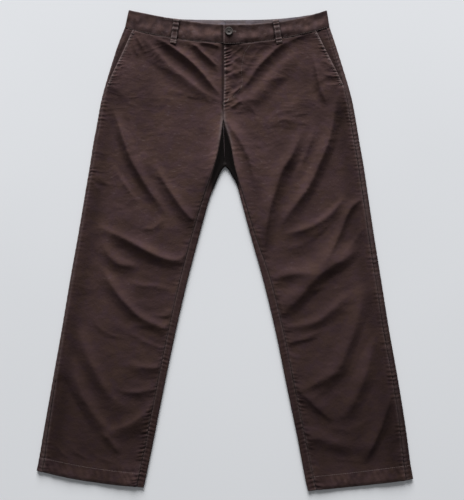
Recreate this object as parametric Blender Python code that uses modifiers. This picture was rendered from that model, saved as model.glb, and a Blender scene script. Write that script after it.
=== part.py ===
"""Twill trousers laid flat with the front up.

Units are metres. X runs across, Y runs towards the waist and Z up. Z = 0 is the surface that the
trousers lie on. Left and right are the sides as seen from above.

Each leg is a flattened tube. The front panel lies on top. The back panel lies underneath, wraps
round a rolled fold at each side and meets the front panel in a seam on top. Each panel is a grid
of rows, from the waist seam down to the hem, and of columns, across the leg. The rows are placed
by a table of sections, and the cloth is a Solidify wall inside that outer face.
"""

from collections import namedtuple

import bmesh
import bpy
import numpy as np

COLLECTION_NAME = "twill_trousers"
CUTTER_COLLECTION_NAME = "cutters"

# Cloth walls and the gap between pieces
WALL = 0.0012
HEM_WALL = 0.0022
BAND_WALL = 0.0020
LOOP_WALL = 0.0016
GAP = 0.0003
HALF_GAP = GAP / 2

# Heights of the outer faces above the floor
ROLL = 0.0031
EDGE_Z = 2 * ROLL
MIDDLE_Z = 0.0046
WAIST_Z = 0.0060
BAND_ROLL = 0.0033
BAND_Z = 2 * BAND_ROLL
WEB_DIP = 0.0020
WEB_REACH = 0.014

# How far an edge holds the cloth up, and how far it holds the folds down
EDGE_REACH = 0.030
CALM_REACH = 0.012
WAIST_CALM = 0.026
HEM_CALM = 0.040

# Fly: the right panel laps over the left one down to FLY_BOTTOM
FLY_BOTTOM = 0.334
FLY_CLOSE = 0.006
FLY_BLEND = 0.028
FLY_UNDER_Z = 0.0050
FLY_OVER_Z = FLY_UNDER_Z + WALL + GAP
FLY_UNDERLAP = 0.010
FLY_REACH = 0.034
FLY_FLAT = 0.012

# Crotch: the centre back seam comes round the fold and runs up on top to the fork
CROTCH_SEAM_END = (0.0, 0.197)
CROTCH_TURN_ROWS = 3

# Slant pockets: the front panel's edge lies on the facing
POCKET_LIFT = WALL + GAP
POCKET_REACH = 0.022
FACING_UNDER = 0.008
FACING_DROP = 0.0012
FACING_COLUMNS = 3

# Waistband, its lap at the centre front, and the button on it
BAND_LAP_X = -0.0035
BAND_UNDERLAP_X = 0.022
LAP_LIFT = BAND_WALL + GAP
LAP_FLAT_X = 0.026
LAP_REACH = 0.036
BUTTON_X = 0.009
BUTTON_Y = 0.491
BUTTON_HOLE_RADIUS = 0.0011
BUTTON_HOLE_OFFSET = 0.0018
BUTTON_STEPS = 24
HOLE_STEPS = 8

# Belt loops
LOOP_WIDTH = 0.013
LOOP_ARCH = 0.0014
LOOP_COLUMNS = 2
LOOP_ROWS = 10
LOOP_SEAT_ROWS = 3

# Grid counts
FRONT_COLUMNS = 18
STRIP_CELLS = 1
ROLL_CELLS = 4
UNDER_CELLS = 6
WEB_CELLS = 3
SQUEEZE = 0.0008
BOW_ROWS = 8
BAND_FRONT_CELLS = 10
BAND_BACK_CELLS = 6
BAND_HEIGHT_CELLS = 3
CREST_STEPS = 12

TWILL_COLOUR = (0.052, 0.032, 0.030, 1.0)
BAND_COLOUR = (0.048, 0.030, 0.029, 1.0)
FACING_COLOUR = (0.044, 0.028, 0.027, 1.0)
LOOP_COLOUR = (0.050, 0.032, 0.031, 1.0)
BUTTON_COLOUR = (0.075, 0.060, 0.056, 1.0)

Section = namedtuple("Section", "name rows outer inset end centre_back inner")
Edge = namedtuple("Edge", "side_x middle_y side_y power")
Fold = namedtuple("Fold", "name start middle end height uphill downhill")
Side = namedtuple(
    "Side", "name sign sections folds hem_bow pocket_top web_corner"
    " front_low front_high back_low back_high loop_top loop_bottom")

# One row for each section of a leg. rows counts the panel rows down to the next section. outer is
# the fold at the outside, and inset is how far the side seam lies inside it. end is where the
# front panel ends, at the fly, the centre seam or the inseam. centre_back is where the back panel
# ends underneath, above the crotch, and inner is the fold at the inside, below it.
LEFT_SECTIONS = (
    Section("waist", 4, (-0.225, 0.501), 0.004, (-0.0020, 0.468), (0, 0.481), None),
    Section("hip", 4, (-0.243, 0.452), 0.004, (-0.0020, 0.425), (0, 0.412), None),
    Section("pocket end", 2, (-0.268, 0.371), 0.004, (-0.0020, 0.367), (0, 0.290), None),
    Section("seat under", 2, (-0.274, 0.349), 0.004, (-0.0030, 0.346), (0, 0.198), None),
    Section("seat over", 4, (-0.278, 0.332), 0.004, (-0.0035, 0.329), None, (0, 0.190)),
    Section("fork", 4, (-0.286, 0.288), 0.004, (-0.0040, 0.294), None, (-0.008, 0.181)),
    Section("upper thigh", 4, (-0.295, 0.240), 0.004, (-0.012, 0.241), None, (-0.016, 0.165)),
    Section("crotch level", 4, (-0.302, 0.195), 0.004, (-0.025, 0.187), None, (-0.024, 0.146)),
    Section("thigh", 6, (-0.311, 0.142), 0.004, (-0.045, 0.130), None, (-0.034, 0.122)),
    Section("mid thigh", 6, (-0.328, 0.041), 0.004, (-0.073, 0.038), None, (-0.058, 0.036)),
    Section("above knee", 6, (-0.347, -0.065), 0.004, (-0.101, -0.068), None, (-0.086, -0.071)),
    Section("knee", 6, (-0.366, -0.178), 0.004, (-0.127, -0.181), None, (-0.112, -0.184)),
    Section("shin", 6, (-0.386, -0.290), 0.006, (-0.152, -0.301), None, (-0.137, -0.304)),
    Section("calf", 4, (-0.406, -0.403), 0.009, (-0.176, -0.422), None, (-0.161, -0.425)),
    Section("hem line", 2, (-0.417, -0.467), 0.012, (-0.192, -0.501), None, (-0.177, -0.504)),
    Section("hem", 0, (-0.422, -0.493), 0.013, (-0.198, -0.528), None, (-0.183, -0.531)),
)
RIGHT_SECTIONS = (
    Section("waist", 4, (0.235, 0.500), 0.008, (-0.0020, 0.466), (0, 0.481), None),
    Section("hip", 4, (0.251, 0.452), 0.009, (-0.0020, 0.425), (0, 0.412), None),
    Section("pocket end", 2, (0.276, 0.371), 0.010, (-0.0020, 0.367), (0, 0.290), None),
    Section("seat under", 2, (0.282, 0.349), 0.011, (-0.0030, 0.346), (0, 0.198), None),
    Section("seat over", 4, (0.286, 0.332), 0.011, (-0.0035, 0.329), None, (0, 0.190)),
    Section("fork", 4, (0.294, 0.288), 0.011, (-0.0040, 0.294), None, (0.008, 0.183)),
    Section("upper thigh", 4, (0.302, 0.240), 0.011, (0.012, 0.241), None, (0.017, 0.168)),
    Section("crotch level", 4, (0.310, 0.195), 0.011, (0.0220, 0.187), None, (0.0265, 0.151)),
    Section("thigh", 6, (0.318, 0.142), 0.011, (0.0400, 0.126), None, (0.0345, 0.123)),
    Section("mid thigh", 6, (0.333, 0.041), 0.011, (0.067, 0.038), None, (0.058, 0.036)),
    Section("above knee", 6, (0.350, -0.065), 0.012, (0.103, -0.068), None, (0.088, -0.071)),
    Section("knee", 6, (0.368, -0.178), 0.012, (0.131, -0.181), None, (0.115, -0.184)),
    Section("shin", 6, (0.388, -0.290), 0.012, (0.155, -0.299), None, (0.139, -0.302)),
    Section("calf", 4, (0.406, -0.403), 0.013, (0.180, -0.420), None, (0.164, -0.423)),
    Section("hem line", 2, (0.417, -0.485), 0.015, (0.198, -0.509), None, (0.181, -0.512)),
    Section("hem", 0, (0.422, -0.511), 0.016, (0.205, -0.536), None, (0.187, -0.539)),
)

# One row for each large fold. Its crest runs from start through middle to end, with a broad slope
# towards the waist, uphill wide, and a short steep one towards the hem, downhill wide.
LEFT_FOLDS = (
    Fold("hip to fly", (-0.132, 0.467), (-0.060, 0.414), (-0.008, 0.353), 0.0050, 0.020, 0.014),
    Fold("loop to fly", (-0.073, 0.467), (-0.040, 0.445), (-0.010, 0.416), 0.0028, 0.020, 0.014),
    Fold("pocket to fly", (-0.197, 0.484), (-0.105, 0.400), (-0.015, 0.331), 0.0042, 0.030, 0.022),
    Fold("thigh", (-0.242, 0.297), (-0.195, 0.190), (-0.134, 0.090), 0.0040, 0.021, 0.016),
    Fold("inner thigh", (-0.154, 0.198), (-0.112, 0.128), (-0.060, 0.056), 0.0040, 0.020, 0.014),
    Fold("above knee", (-0.258, 0.045), (-0.160, -0.010), (-0.085, -0.018), 0.0090, 0.030, 0.016),
    Fold("knee side", (-0.274, 0.029), (-0.242, -0.016), (-0.199, -0.038), 0.0030, 0.021, 0.017),
    Fold("knee", (-0.269, -0.038), (-0.218, -0.120), (-0.121, -0.178), 0.0075, 0.032, 0.016),
    Fold("shin outer", (-0.328, -0.166), (-0.280, -0.268), (-0.229, -0.328), 0.0040, 0.023, 0.017),
    Fold("shin inner", (-0.229, -0.328), (-0.188, -0.315), (-0.145, -0.288), 0.0040, 0.021, 0.014),
    Fold("calf outer", (-0.332, -0.259), (-0.300, -0.355), (-0.251, -0.412), 0.0040, 0.021, 0.016),
    Fold("calf inner", (-0.251, -0.412), (-0.211, -0.389), (-0.168, -0.353), 0.0040, 0.021, 0.016),
)
RIGHT_FOLDS = (
    Fold("hip to fly", (0.143, 0.473), (0.085, 0.425), (0.041, 0.369), 0.0050, 0.020, 0.014),
    Fold("broad hip", (0.147, 0.437), (0.088, 0.372), (0.030, 0.331), 0.0042, 0.030, 0.021),
    Fold("pocket top", (0.199, 0.490), (0.165, 0.468), (0.138, 0.441), 0.0028, 0.020, 0.014),
    Fold("outer thigh", (0.242, 0.317), (0.208, 0.194), (0.134, 0.065), 0.0050, 0.023, 0.016),
    Fold("middle thigh", (0.167, 0.254), (0.120, 0.164), (0.089, 0.041), 0.0042, 0.020, 0.016),
    Fold("inner thigh", (0.005, 0.286), (0.052, 0.212), (0.082, 0.108), 0.0030, 0.021, 0.016),
    Fold("side above knee", (0.305, 0.110), (0.262, 0.055), (0.210, -0.025), 0.0050, 0.023, 0.016),
    Fold("inner above knee", (0.255, 0.092), (0.195, 0.058), (0.138, 0.023), 0.0045, 0.023, 0.016),
    Fold("knee", (0.282, -0.004), (0.203, -0.067), (0.120, -0.148), 0.0090, 0.037, 0.016),
    Fold("below knee", (0.251, -0.126), (0.188, -0.163), (0.127, -0.171), 0.0040, 0.021, 0.016),
    Fold("shin", (0.287, -0.207), (0.249, -0.278), (0.181, -0.310), 0.0045, 0.023, 0.016),
    Fold("calf outer", (0.320, -0.207), (0.290, -0.300), (0.244, -0.367), 0.0045, 0.023, 0.016),
    Fold("calf inner", (0.183, -0.328), (0.210, -0.355), (0.244, -0.371), 0.0035, 0.020, 0.014),
    Fold("calf side", (0.365, -0.331), (0.335, -0.410), (0.291, -0.461), 0.0040, 0.021, 0.016),
    Fold("above hem", (0.185, -0.409), (0.219, -0.427), (0.264, -0.441), 0.0030, 0.020, 0.014),
)

# The waistband's four edges on each side run level at the centre and rise to the side fold.
LEFT = Side(
    name="left", sign=-1, sections=LEFT_SECTIONS, folds=LEFT_FOLDS, hem_bow=0.0060,
    pocket_top=(-0.207, 0.495), web_corner=(-0.0043, 0.287),
    front_low=Edge(0.225, 0.468, 0.501, 1.6), front_high=Edge(0.216, 0.507, 0.540, 1.45),
    back_low=Edge(0.225, 0.480, 0.501, 2.8), back_high=Edge(0.216, 0.519, 0.540, 3.2),
    loop_top=(-0.108, 0.519), loop_bottom=(-0.116, 0.463))
RIGHT = Side(
    name="right", sign=1, sections=RIGHT_SECTIONS, folds=RIGHT_FOLDS, hem_bow=0.0020,
    pocket_top=(0.205, 0.495), web_corner=(-0.0032, 0.287),
    front_low=Edge(0.235, 0.466, 0.500, 1.5), front_high=Edge(0.229, 0.508, 0.539, 2.0),
    back_low=Edge(0.235, 0.480, 0.500, 2.6), back_high=Edge(0.229, 0.519, 0.539, 3.2),
    loop_top=(0.113, 0.517), loop_bottom=(0.122, 0.463))


# Curves and weights

def fade(distance, reach):
    """1 at an edge, falling smoothly to 0 at reach from it."""
    share = np.clip(distance / reach, 0.0, 1.0)
    return 1 - share * share * (3 - 2 * share)


def mix(start, end, share):
    return start + (end - start) * share


def unit(vectors):
    return vectors / np.linalg.norm(vectors, axis=-1, keepdims=True)


def section_rows(sections):
    """Row number of each section."""
    return np.cumsum([0] + [section.rows for section in sections[:-1]])


def row_of(side, name):
    names = [section.name for section in side.sections]
    return int(section_rows(side.sections)[names.index(name)])


def all_rows(side, step=1):
    return np.arange(0, section_rows(side.sections)[-1] + 1, step)


def trace(sections, column, row, first_row=0):
    """Points at the given rows on a smooth curve through one column of the section table."""
    at = first_row + section_rows(sections)
    filled = [(knot, getattr(section, column)) for knot, section in zip(at, sections)
              if getattr(section, column) is not None]
    knots = np.array([knot for knot, value in filled], dtype=float)
    values = np.array([value for knot, value in filled], dtype=float).reshape(len(knots), -1)
    slopes = np.gradient(values, knots, axis=0)
    cell = np.clip(np.searchsorted(knots, row, side="right") - 1, 0, len(knots) - 2)
    length = (knots[cell + 1] - knots[cell])[:, None]
    share = (np.asarray(row, dtype=float) - knots[cell])[:, None] / length
    leave, arrive = slopes[cell] * length, slopes[cell + 1] * length
    return (values[cell] * (1 + 2 * share) * (1 - share) ** 2
            + values[cell + 1] * share ** 2 * (3 - 2 * share)
            + leave * share * (1 - share) ** 2 + arrive * share ** 2 * (share - 1))


def facet(points, side, row):
    """Points given at every second row, read at any row along straight runs between them."""
    even = all_rows(side, 2)
    return np.stack([np.interp(row, even, points[:, 0]), np.interp(row, even, points[:, 1])], axis=1)


def edge_y(edge, x):
    """Y of a waistband edge at x."""
    return mix(edge.middle_y, edge.side_y, (np.abs(x) / edge.side_x) ** edge.power)


def outward(side, points, inside):
    """Unit directions across a fold line, away from the leg, one for each of its points."""
    along = unit(np.gradient(points, axis=0))
    across = np.stack([along[:, 1], -along[:, 0]], axis=1) * side.sign
    return across if inside else -across


# Seams and outlines of the panels

def side_fold(side):
    """Outer fold line and its outward directions, at every second row."""
    outer = trace(side.sections, "outer", all_rows(side, 2))
    return outer, outward(side, outer, inside=False)


def side_seam(side, row):
    """Side seam on top of the leg, inside the outer fold."""
    outer, out = side_fold(side)
    inset = trace(side.sections, "inset", all_rows(side, 2))
    return facet(outer - out * inset, side, row)


def inner_seam(side, row):
    """Centre front down to the fork, where it turns a corner, and then the inseam."""
    fork = [section.name for section in side.sections].index("fork")
    fork_row = row_of(side, "fork")
    even = all_rows(side, 2)
    above = trace(side.sections[:fork + 1], "end", even)
    below = trace(side.sections[fork:], "end", even, fork_row)
    return facet(np.where(even[:, None] < fork_row, above, below), side, row)


def front_edge(side, row):
    """Outer edge of the front panel: the slant pocket, then the side seam."""
    points = side_seam(side, row)
    points[:, 0] -= side.sign * HALF_GAP
    pocket_row = row_of(side, "pocket end")
    share = np.clip(row / pocket_row, 0.0, 1.0)[:, None]
    slant = mix(np.array(side.pocket_top), points[pocket_row], share)
    return np.where(share < 1, slant, points)


def front_end(side, row):
    """Inner edge of the front panel; the left one runs on under the fly."""
    points = inner_seam(side, row)
    points[:, 0] += side.sign * HALF_GAP
    if side is LEFT:
        points[:, 0] += FLY_UNDERLAP * fade(FLY_BOTTOM - points[:, 1], FLY_CLOSE)
    return points


def bow_to_waist(points, row, edge):
    """Bend the upper rows of a panel so that its first row follows the waist seam."""
    bow = edge_y(edge, points[0, :, 0]) - HALF_GAP - points[0, :, 1]
    points[..., 1] += bow * np.clip(1 - row / BOW_ROWS, 0, 1)[:, None] ** 2


def bow_to_hem(points, row, side):
    """Bend the last rows of a panel so that the hem hangs a little lower in its middle."""
    hem = side.sections[-1]
    share = (points[..., 0] - hem.outer[0]) / (hem.inner[0] - hem.outer[0])
    near_hem = 1 - np.clip((row[-1] - row) / BOW_ROWS, 0, 1)
    points[..., 1] -= side.hem_bow * np.sin(np.pi * np.clip(share, 0, 1)) * near_hem[:, None] ** 2


# Heights of the front panels

def fold_height(fold, x, y):
    """Height of one fold at x, y: a ridge along its crest that fades out at both ends."""
    start, middle, end = (np.array(point) for point in (fold.start, fold.middle, fold.end))
    bend = 2 * middle - (start + end) / 2
    step = np.linspace(0, 1, CREST_STEPS)[:, None]
    crest = start * (1 - step) ** 2 + bend * 2 * step * (1 - step) + end * step ** 2
    run = np.diff(crest, axis=0)
    from_x = x[..., None] - crest[:-1, 0]
    from_y = y[..., None] - crest[:-1, 1]
    along = (from_x * run[:, 0] + from_y * run[:, 1]) / (run ** 2).sum(axis=1)
    along = np.clip(along, 0, 1)
    away_x = from_x - along * run[:, 0]
    away_y = from_y - along * run[:, 1]
    distance = np.hypot(away_x, away_y)
    nearest = distance.argmin(axis=-1)[..., None]
    across = run[:, 0] * away_y - run[:, 1] * away_x
    distance, across, along = (np.take_along_axis(values, nearest, axis=-1)[..., 0]
                               for values in (distance, across, along))
    uphill = across * np.sign(end[0] - start[0]) > 0
    width = np.where(uphill, fold.uphill, fold.downhill)
    taper = np.sin(np.pi * (nearest[..., 0] + along) / len(run)) ** 0.7
    return fold.height * taper * np.exp(-(distance / width) ** 2)


def front_height(side, x, y, to_edge, to_end, to_waist, to_hem):
    """Height of the front panel's outer face, from its distances to its four edges."""
    at_fly = fade(FLY_BOTTOM - FLY_CLOSE - y, FLY_BLEND)
    fly_z = FLY_UNDER_Z if side is LEFT else FLY_OVER_Z
    lap = fade(to_end - FLY_FLAT, FLY_REACH - FLY_FLAT)
    z = mix(MIDDLE_Z, WAIST_Z, fade(to_waist, EDGE_REACH))
    z = mix(z, EDGE_Z, fade(to_hem, EDGE_REACH))
    z = mix(z, EDGE_Z, fade(to_edge, EDGE_REACH))
    z = mix(z, mix(EDGE_Z, fly_z, at_fly), mix(fade(to_end, EDGE_REACH), lap, at_fly))
    calm = (1 - fade(to_edge, CALM_REACH)) * (1 - fade(to_waist, WAIST_CALM))
    calm *= (1 - fade(to_end, CALM_REACH)) * (1 - fade(to_hem, HEM_CALM))
    calm *= 1 - at_fly * fade(to_end - FLY_FLAT, CALM_REACH)
    folds = sum(fold_height(fold, x, y) for fold in side.folds)
    pocket_y = front_edge(side, all_rows(side))[row_of(side, "pocket end"), 1]
    below_pocket = np.maximum(pocket_y - y, 0)
    mouth = POCKET_LIFT * fade(np.hypot(to_edge, below_pocket), POCKET_REACH)
    return z + folds * calm + mouth


# Pieces, each an array of points on its outer face, rows by columns

def front_points(side):
    """Front panel: rows from waist to hem, columns from its outer to its inner edge."""
    row = all_rows(side)
    edge = front_edge(side, row)[:, None]
    end = front_end(side, row)[:, None]
    share = np.linspace(0, 1, FRONT_COLUMNS + 1)
    flat = mix(edge, end, share[None, :, None])
    bow_to_waist(flat, row, side.front_low)
    bow_to_hem(flat, row, side)
    x, y = flat[..., 0], flat[..., 1]
    width = np.linalg.norm(end - edge, axis=-1)
    z = front_height(side, x, y, width * share, width * (1 - share), y[0] - y, y - y[-1])
    return np.dstack([x, y, z])


def roll(centre, out, turn):
    """Point of a rolled fold round a centre line: turn is -1 underneath and 1 on top."""
    angle = turn * np.pi / 2
    return np.append(centre + out * ROLL * np.cos(angle), ROLL * (1 + np.sin(angle)))


def line(start, end, cells, z):
    """Points from start on towards end at one height, without the last one."""
    return [np.append(mix(start, end, step / cells), z) for step in range(cells)]


def web_line(side, start, end):
    """Points on top from the inner fold to the inseam; the web below the fork sinks in."""
    inseam = inner_seam(side, np.arange(row_of(side, "fork"), all_rows(side)[-1] + 1))[::-1]
    points = []
    for share in np.linspace(0, 1, WEB_CELLS + 1)[1:]:
        x, y = mix(start, end, share)
        to_seam = abs(np.interp(y, inseam[:, 1], inseam[:, 0]) - x)
        to_fold = np.linalg.norm(end - start) * share
        dip = WEB_DIP * (1 - fade(to_seam, WEB_REACH)) * (1 - fade(to_fold, WEB_REACH))
        points.append(np.array([x, y, EDGE_Z - dip]))
    return points


def back_points(side):
    """Back panel: side seam, outer fold, underside, inner fold, inseam; every second row."""
    rows = all_rows(side, 2)
    over_row, fork_row = row_of(side, "seat over"), row_of(side, "fork")
    half_gap = np.array([side.sign * HALF_GAP, 0])
    outer, out = side_fold(side)
    seam = side_seam(side, rows) + half_gap
    centre_back = trace(side.sections, "centre_back", rows) + half_gap
    inseam = inner_seam(side, rows) - half_gap
    inner_rows = rows[rows >= over_row]
    inner = trace(side.sections, "inner", inner_rows) + half_gap
    turned = fade(np.arange(len(inner)), CROTCH_TURN_ROWS)[:, None]
    in_out = unit(mix(outward(side, inner, inside=True), np.array([0.0, -1.0]), turned))
    turns = np.linspace(1, -1, ROLL_CELLS + 1)
    squeezed = ROLL_CELLS + WEB_CELLS
    points = []
    for index, row in enumerate(rows):
        outer_centre = outer[index] - out[index] * ROLL
        path = line(seam[index], outer_centre, STRIP_CELLS, EDGE_Z)
        path += [roll(outer_centre, out[index], turn) for turn in turns[:-1]]
        if row < over_row:
            last = centre_back[index] + np.array([side.sign * SQUEEZE * squeezed, 0])
            path += line(outer_centre, last, UNDER_CELLS, 0)
            path += line(last, centre_back[index], squeezed, 0)
            path.append(np.append(centre_back[index], 0))
        else:
            fold = index - len(rows) + len(inner)
            last = inner[fold] - in_out[fold] * ROLL
            share = min((row - over_row) / (fork_row - over_row), 1.0)
            centre = mix(np.array(CROTCH_SEAM_END) + half_gap, np.array(side.web_corner), share)
            end = centre if row <= fork_row else inseam[index]
            path += line(outer_centre, last, UNDER_CELLS, 0)
            path += [roll(last, in_out[fold], -turn) for turn in turns]
            path += web_line(side, last, end)
        points.append(path)
    points = np.array(points)
    bow_to_waist(points, rows, side.back_low)
    bow_to_hem(points, rows, side)
    return points


def facing_points(side):
    """Pocket facing: from the side seam to under the front panel's slant edge."""
    row = np.arange(row_of(side, "pocket end") + 1)
    outer = side_seam(side, row)
    outer[:, 0] -= side.sign * HALF_GAP
    slant = front_edge(side, all_rows(side))[:len(row)]
    inner = slant - np.array([side.sign * FACING_UNDER, 0])
    share = np.linspace(0, 1, FACING_COLUMNS + 1)[None, :, None]
    flat = mix(outer[:, None], inner[:, None], share)
    bow_to_waist(flat, row, side.front_low)
    under = side.sign * (slant[:, None, 0] - flat[..., 0]) / FACING_UNDER
    z = EDGE_Z - FACING_DROP * np.clip(under, 0, 1)
    return np.dstack([flat, z])


def band_points(side):
    """Half waistband: centre front, side fold, centre back; rows along it, columns up it."""
    front_x = BAND_UNDERLAP_X if side is LEFT else BAND_LAP_X
    fold = [np.array([side.sign * edge.side_x, edge.side_y])
            for edge in (side.front_low, side.front_high)]
    along = unit(fold[1] - fold[0])
    out = np.array([along[1], -along[0]]) * side.sign
    height = np.linspace(0, 1, BAND_HEIGHT_CELLS + 1)
    centre = [point - out * BAND_ROLL for point in fold]
    points = []
    for share in np.linspace(0, 1, BAND_FRONT_CELLS + 1)[:-1]:
        points.append(band_station(side.front_low, side.front_high, front_x, centre, share, height))
        if side is RIGHT:
            beyond = points[-1][:, 0] - LAP_FLAT_X
            points[-1][:, 2] += LAP_LIFT * fade(beyond, LAP_REACH)
        points[-1][:, 2] += BAND_Z
    for turn in np.linspace(1, -1, ROLL_CELLS + 1)[:-1]:
        angle = turn * np.pi / 2
        base = band_station(side.front_low, side.front_high, front_x, centre, 1, height)
        base[:, :2] += out * BAND_ROLL * np.cos(angle)
        base[:, 2] = BAND_ROLL * (1 + np.sin(angle))
        points.append(base)
    back_x = side.sign * HALF_GAP
    for share in np.linspace(1, 0, BAND_BACK_CELLS + 1):
        points.append(band_station(side.back_low, side.back_high, back_x, centre, share, height))
    return np.array(points)


def band_station(low, high, centre_x, fold_centre, share, height):
    """Points up the waistband at a share of the way from the centre to the side fold."""
    x = [mix(centre_x, point[0], share) for point in fold_centre]
    bottom = np.array([x[0], edge_y(low, x[0]) + HALF_GAP, 0])
    top = np.array([x[1], edge_y(high, x[1]), 0])
    return mix(bottom[None], top[None], height[:, None])


def loop_points(side):
    """Belt loop: a strip over the waistband, from its top edge to just below its seam."""
    top, bottom = np.array(side.loop_top), np.array(side.loop_bottom)
    along = unit(bottom - top)
    across = np.array([-along[1], along[0]])
    panel = front_points(side)[:LOOP_SEAT_ROWS]
    near = np.abs(panel[..., 0] - bottom[0]) < LOOP_WIDTH
    seat = panel[..., 2][near].max()
    points = []
    for share in np.linspace(0, 1, LOOP_ROWS + 1):
        middle = mix(top, bottom, share)
        below = fade(middle[1] - bottom[1], edge_y(side.front_low, middle[0]) - bottom[1])
        level = mix(BAND_Z, max(seat, WAIST_Z), below) + GAP + LOOP_WALL
        level += LOOP_ARCH * np.sin(np.pi * share)
        points.append([np.append(middle + across * LOOP_WIDTH * offset, level)
                       for offset in np.linspace(-0.5, 0.5, LOOP_COLUMNS + 1)])
    return np.array(points)


# Objects

def make_material(name, colour, roughness):
    material = bpy.data.materials.new(name)
    material.use_nodes = True
    shader = material.node_tree.nodes["Principled BSDF"]
    shader.inputs["Base Color"].default_value = colour
    shader.inputs["Roughness"].default_value = roughness
    shader.inputs["Metallic"].default_value = 0.0
    return material


def add_object(name, mesh, collection, material):
    item = bpy.data.objects.new(name, mesh)
    collection.objects.link(item)
    mesh.materials.append(material)
    mesh.shade_smooth()
    return item


def grid_mesh(name, points, flip):
    """Grid of cells through an array of points; flip turns its faces over."""
    rows, columns = points.shape[0] - 1, points.shape[1] - 1
    bm = bmesh.new()
    bmesh.ops.create_grid(bm, x_segments=columns, y_segments=rows, size=1.0)
    for vert in bm.verts:
        column = round((vert.co.x + 1) / 2 * columns)
        row = round((1 - vert.co.y) / 2 * rows)
        vert.co = points[row, column]
    if flip:
        bmesh.ops.reverse_faces(bm, faces=bm.faces)
    mesh = bpy.data.meshes.new(name)
    bm.to_mesh(mesh)
    bm.free()
    return mesh


def cloth_piece(name, points, flip, wall, collection, colour):
    """Cloth whose outer face goes through the points and whose wall lies inside it."""
    item = add_object(name, grid_mesh(name, points, flip), collection,
                      make_material(name, colour, 0.92))
    solidify = item.modifiers.new("cloth wall", "SOLIDIFY")
    solidify.thickness = wall
    solidify.offset = -1.0
    solidify.use_even_offset = False
    return item


def thicken_hem(item, hem_y):
    """Double the wall below the hem line, where the cloth is turned up inside."""
    group = item.vertex_groups.new(name="hem")
    rows = [vert.index for vert in item.data.vertices if hem_y(vert.co.x) >= vert.co.y]
    group.add(rows, 1.0, "REPLACE")
    solidify = item.modifiers["cloth wall"]
    solidify.thickness = HEM_WALL
    solidify.vertex_group = group.name
    solidify.thickness_vertex_group = WALL / HEM_WALL


def build_panels(side, collection):
    hem_line = side.sections[-2]
    left_end, right_end = sorted([hem_line.outer, hem_line.inner])

    def hem_y(x):
        return np.interp(x, *zip(left_end, right_end)) + GAP

    front = cloth_piece(f"front_{side.name}", front_points(side), side is RIGHT, WALL, collection,
                        TWILL_COLOUR)
    back = cloth_piece(f"back_{side.name}", back_points(side), side is LEFT, WALL, collection,
                       TWILL_COLOUR)
    for panel in (front, back):
        thicken_hem(panel, hem_y)


def build_trim(side, collection):
    """Pocket facing, waistband half and belt loop of one side."""
    cloth_piece(f"pocket_facing_{side.name}", facing_points(side), side is RIGHT, WALL, collection,
                FACING_COLOUR)
    cloth_piece(f"waistband_{side.name}", band_points(side), side is LEFT, BAND_WALL, collection,
                BAND_COLOUR)
    cloth_piece(f"belt_loop_{side.name}", loop_points(side), False, LOOP_WALL, collection,
                LOOP_COLOUR)


def build_button(collection, cutters):
    """Four-hole button: a turned disc with a raised rim, lying on the waistband's lap."""
    profile = (
        (0.0, 0.0019), (0.0042, 0.0019), (0.0057, 0.0029), (0.0072, 0.0032),
        (0.0086, 0.0027), (0.0090, 0.0018), (0.0084, 0.0007), (0.0064, 0.0), (0.0, 0.0))
    mesh = bpy.data.meshes.new("button")
    edges = [(index, index + 1) for index in range(len(profile) - 1)]
    mesh.from_pydata([(radius, 0.0, height) for radius, height in profile], edges, [])
    item = add_object("button", mesh, collection, make_material("button", BUTTON_COLOUR, 0.45))
    item.location = (BUTTON_X, BUTTON_Y, BAND_Z + LAP_LIFT + GAP)
    screw = item.modifiers.new("turned", "SCREW")
    screw.steps = BUTTON_STEPS
    screw.render_steps = BUTTON_STEPS
    screw.use_merge_vertices = True
    screw.merge_threshold = 0.00001
    for number, (across, up) in enumerate(((-1, -1), (1, -1), (1, 1), (-1, 1))):
        bpy.ops.mesh.primitive_cylinder_add(
            vertices=HOLE_STEPS, radius=BUTTON_HOLE_RADIUS, depth=0.02,
            location=(BUTTON_X + across * BUTTON_HOLE_OFFSET, BUTTON_Y + up * BUTTON_HOLE_OFFSET,
                      BAND_Z))
        hole = bpy.context.active_object
        hole.name = f"button_hole_{number + 1}"
        for owner in hole.users_collection:
            owner.objects.unlink(hole)
        cutters.objects.link(hole)
        hole.hide_render = True
        hole.display_type = "WIRE"
        cut = item.modifiers.new(hole.name, "BOOLEAN")
        cut.operation = "DIFFERENCE"
        cut.object = hole


def main():
    for item in list(bpy.data.objects):
        bpy.data.objects.remove(item, do_unlink=True)
    collection = bpy.data.collections.new(COLLECTION_NAME)
    cutters = bpy.data.collections.new(CUTTER_COLLECTION_NAME)
    bpy.context.scene.collection.children.link(collection)
    bpy.context.scene.collection.children.link(cutters)
    for side in (LEFT, RIGHT):
        build_panels(side, collection)
        build_trim(side, collection)
    build_button(collection, cutters)


main()
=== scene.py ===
"""Looks of the twill trousers, laid flat with the front up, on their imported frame.

Units are metres, or millimetres where a table says so. X runs across, Y runs towards the waist and
Z up. Left and right are the sides as seen from above. The outlines repeat the part's own tables and
functions on finer rows, and the folds, creases, seams, stitches and cloth are laid on them.
"""

import math
from collections import namedtuple

import bmesh
import bpy
import numpy as np
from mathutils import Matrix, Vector
from mathutils.bvhtree import BVHTree


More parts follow.
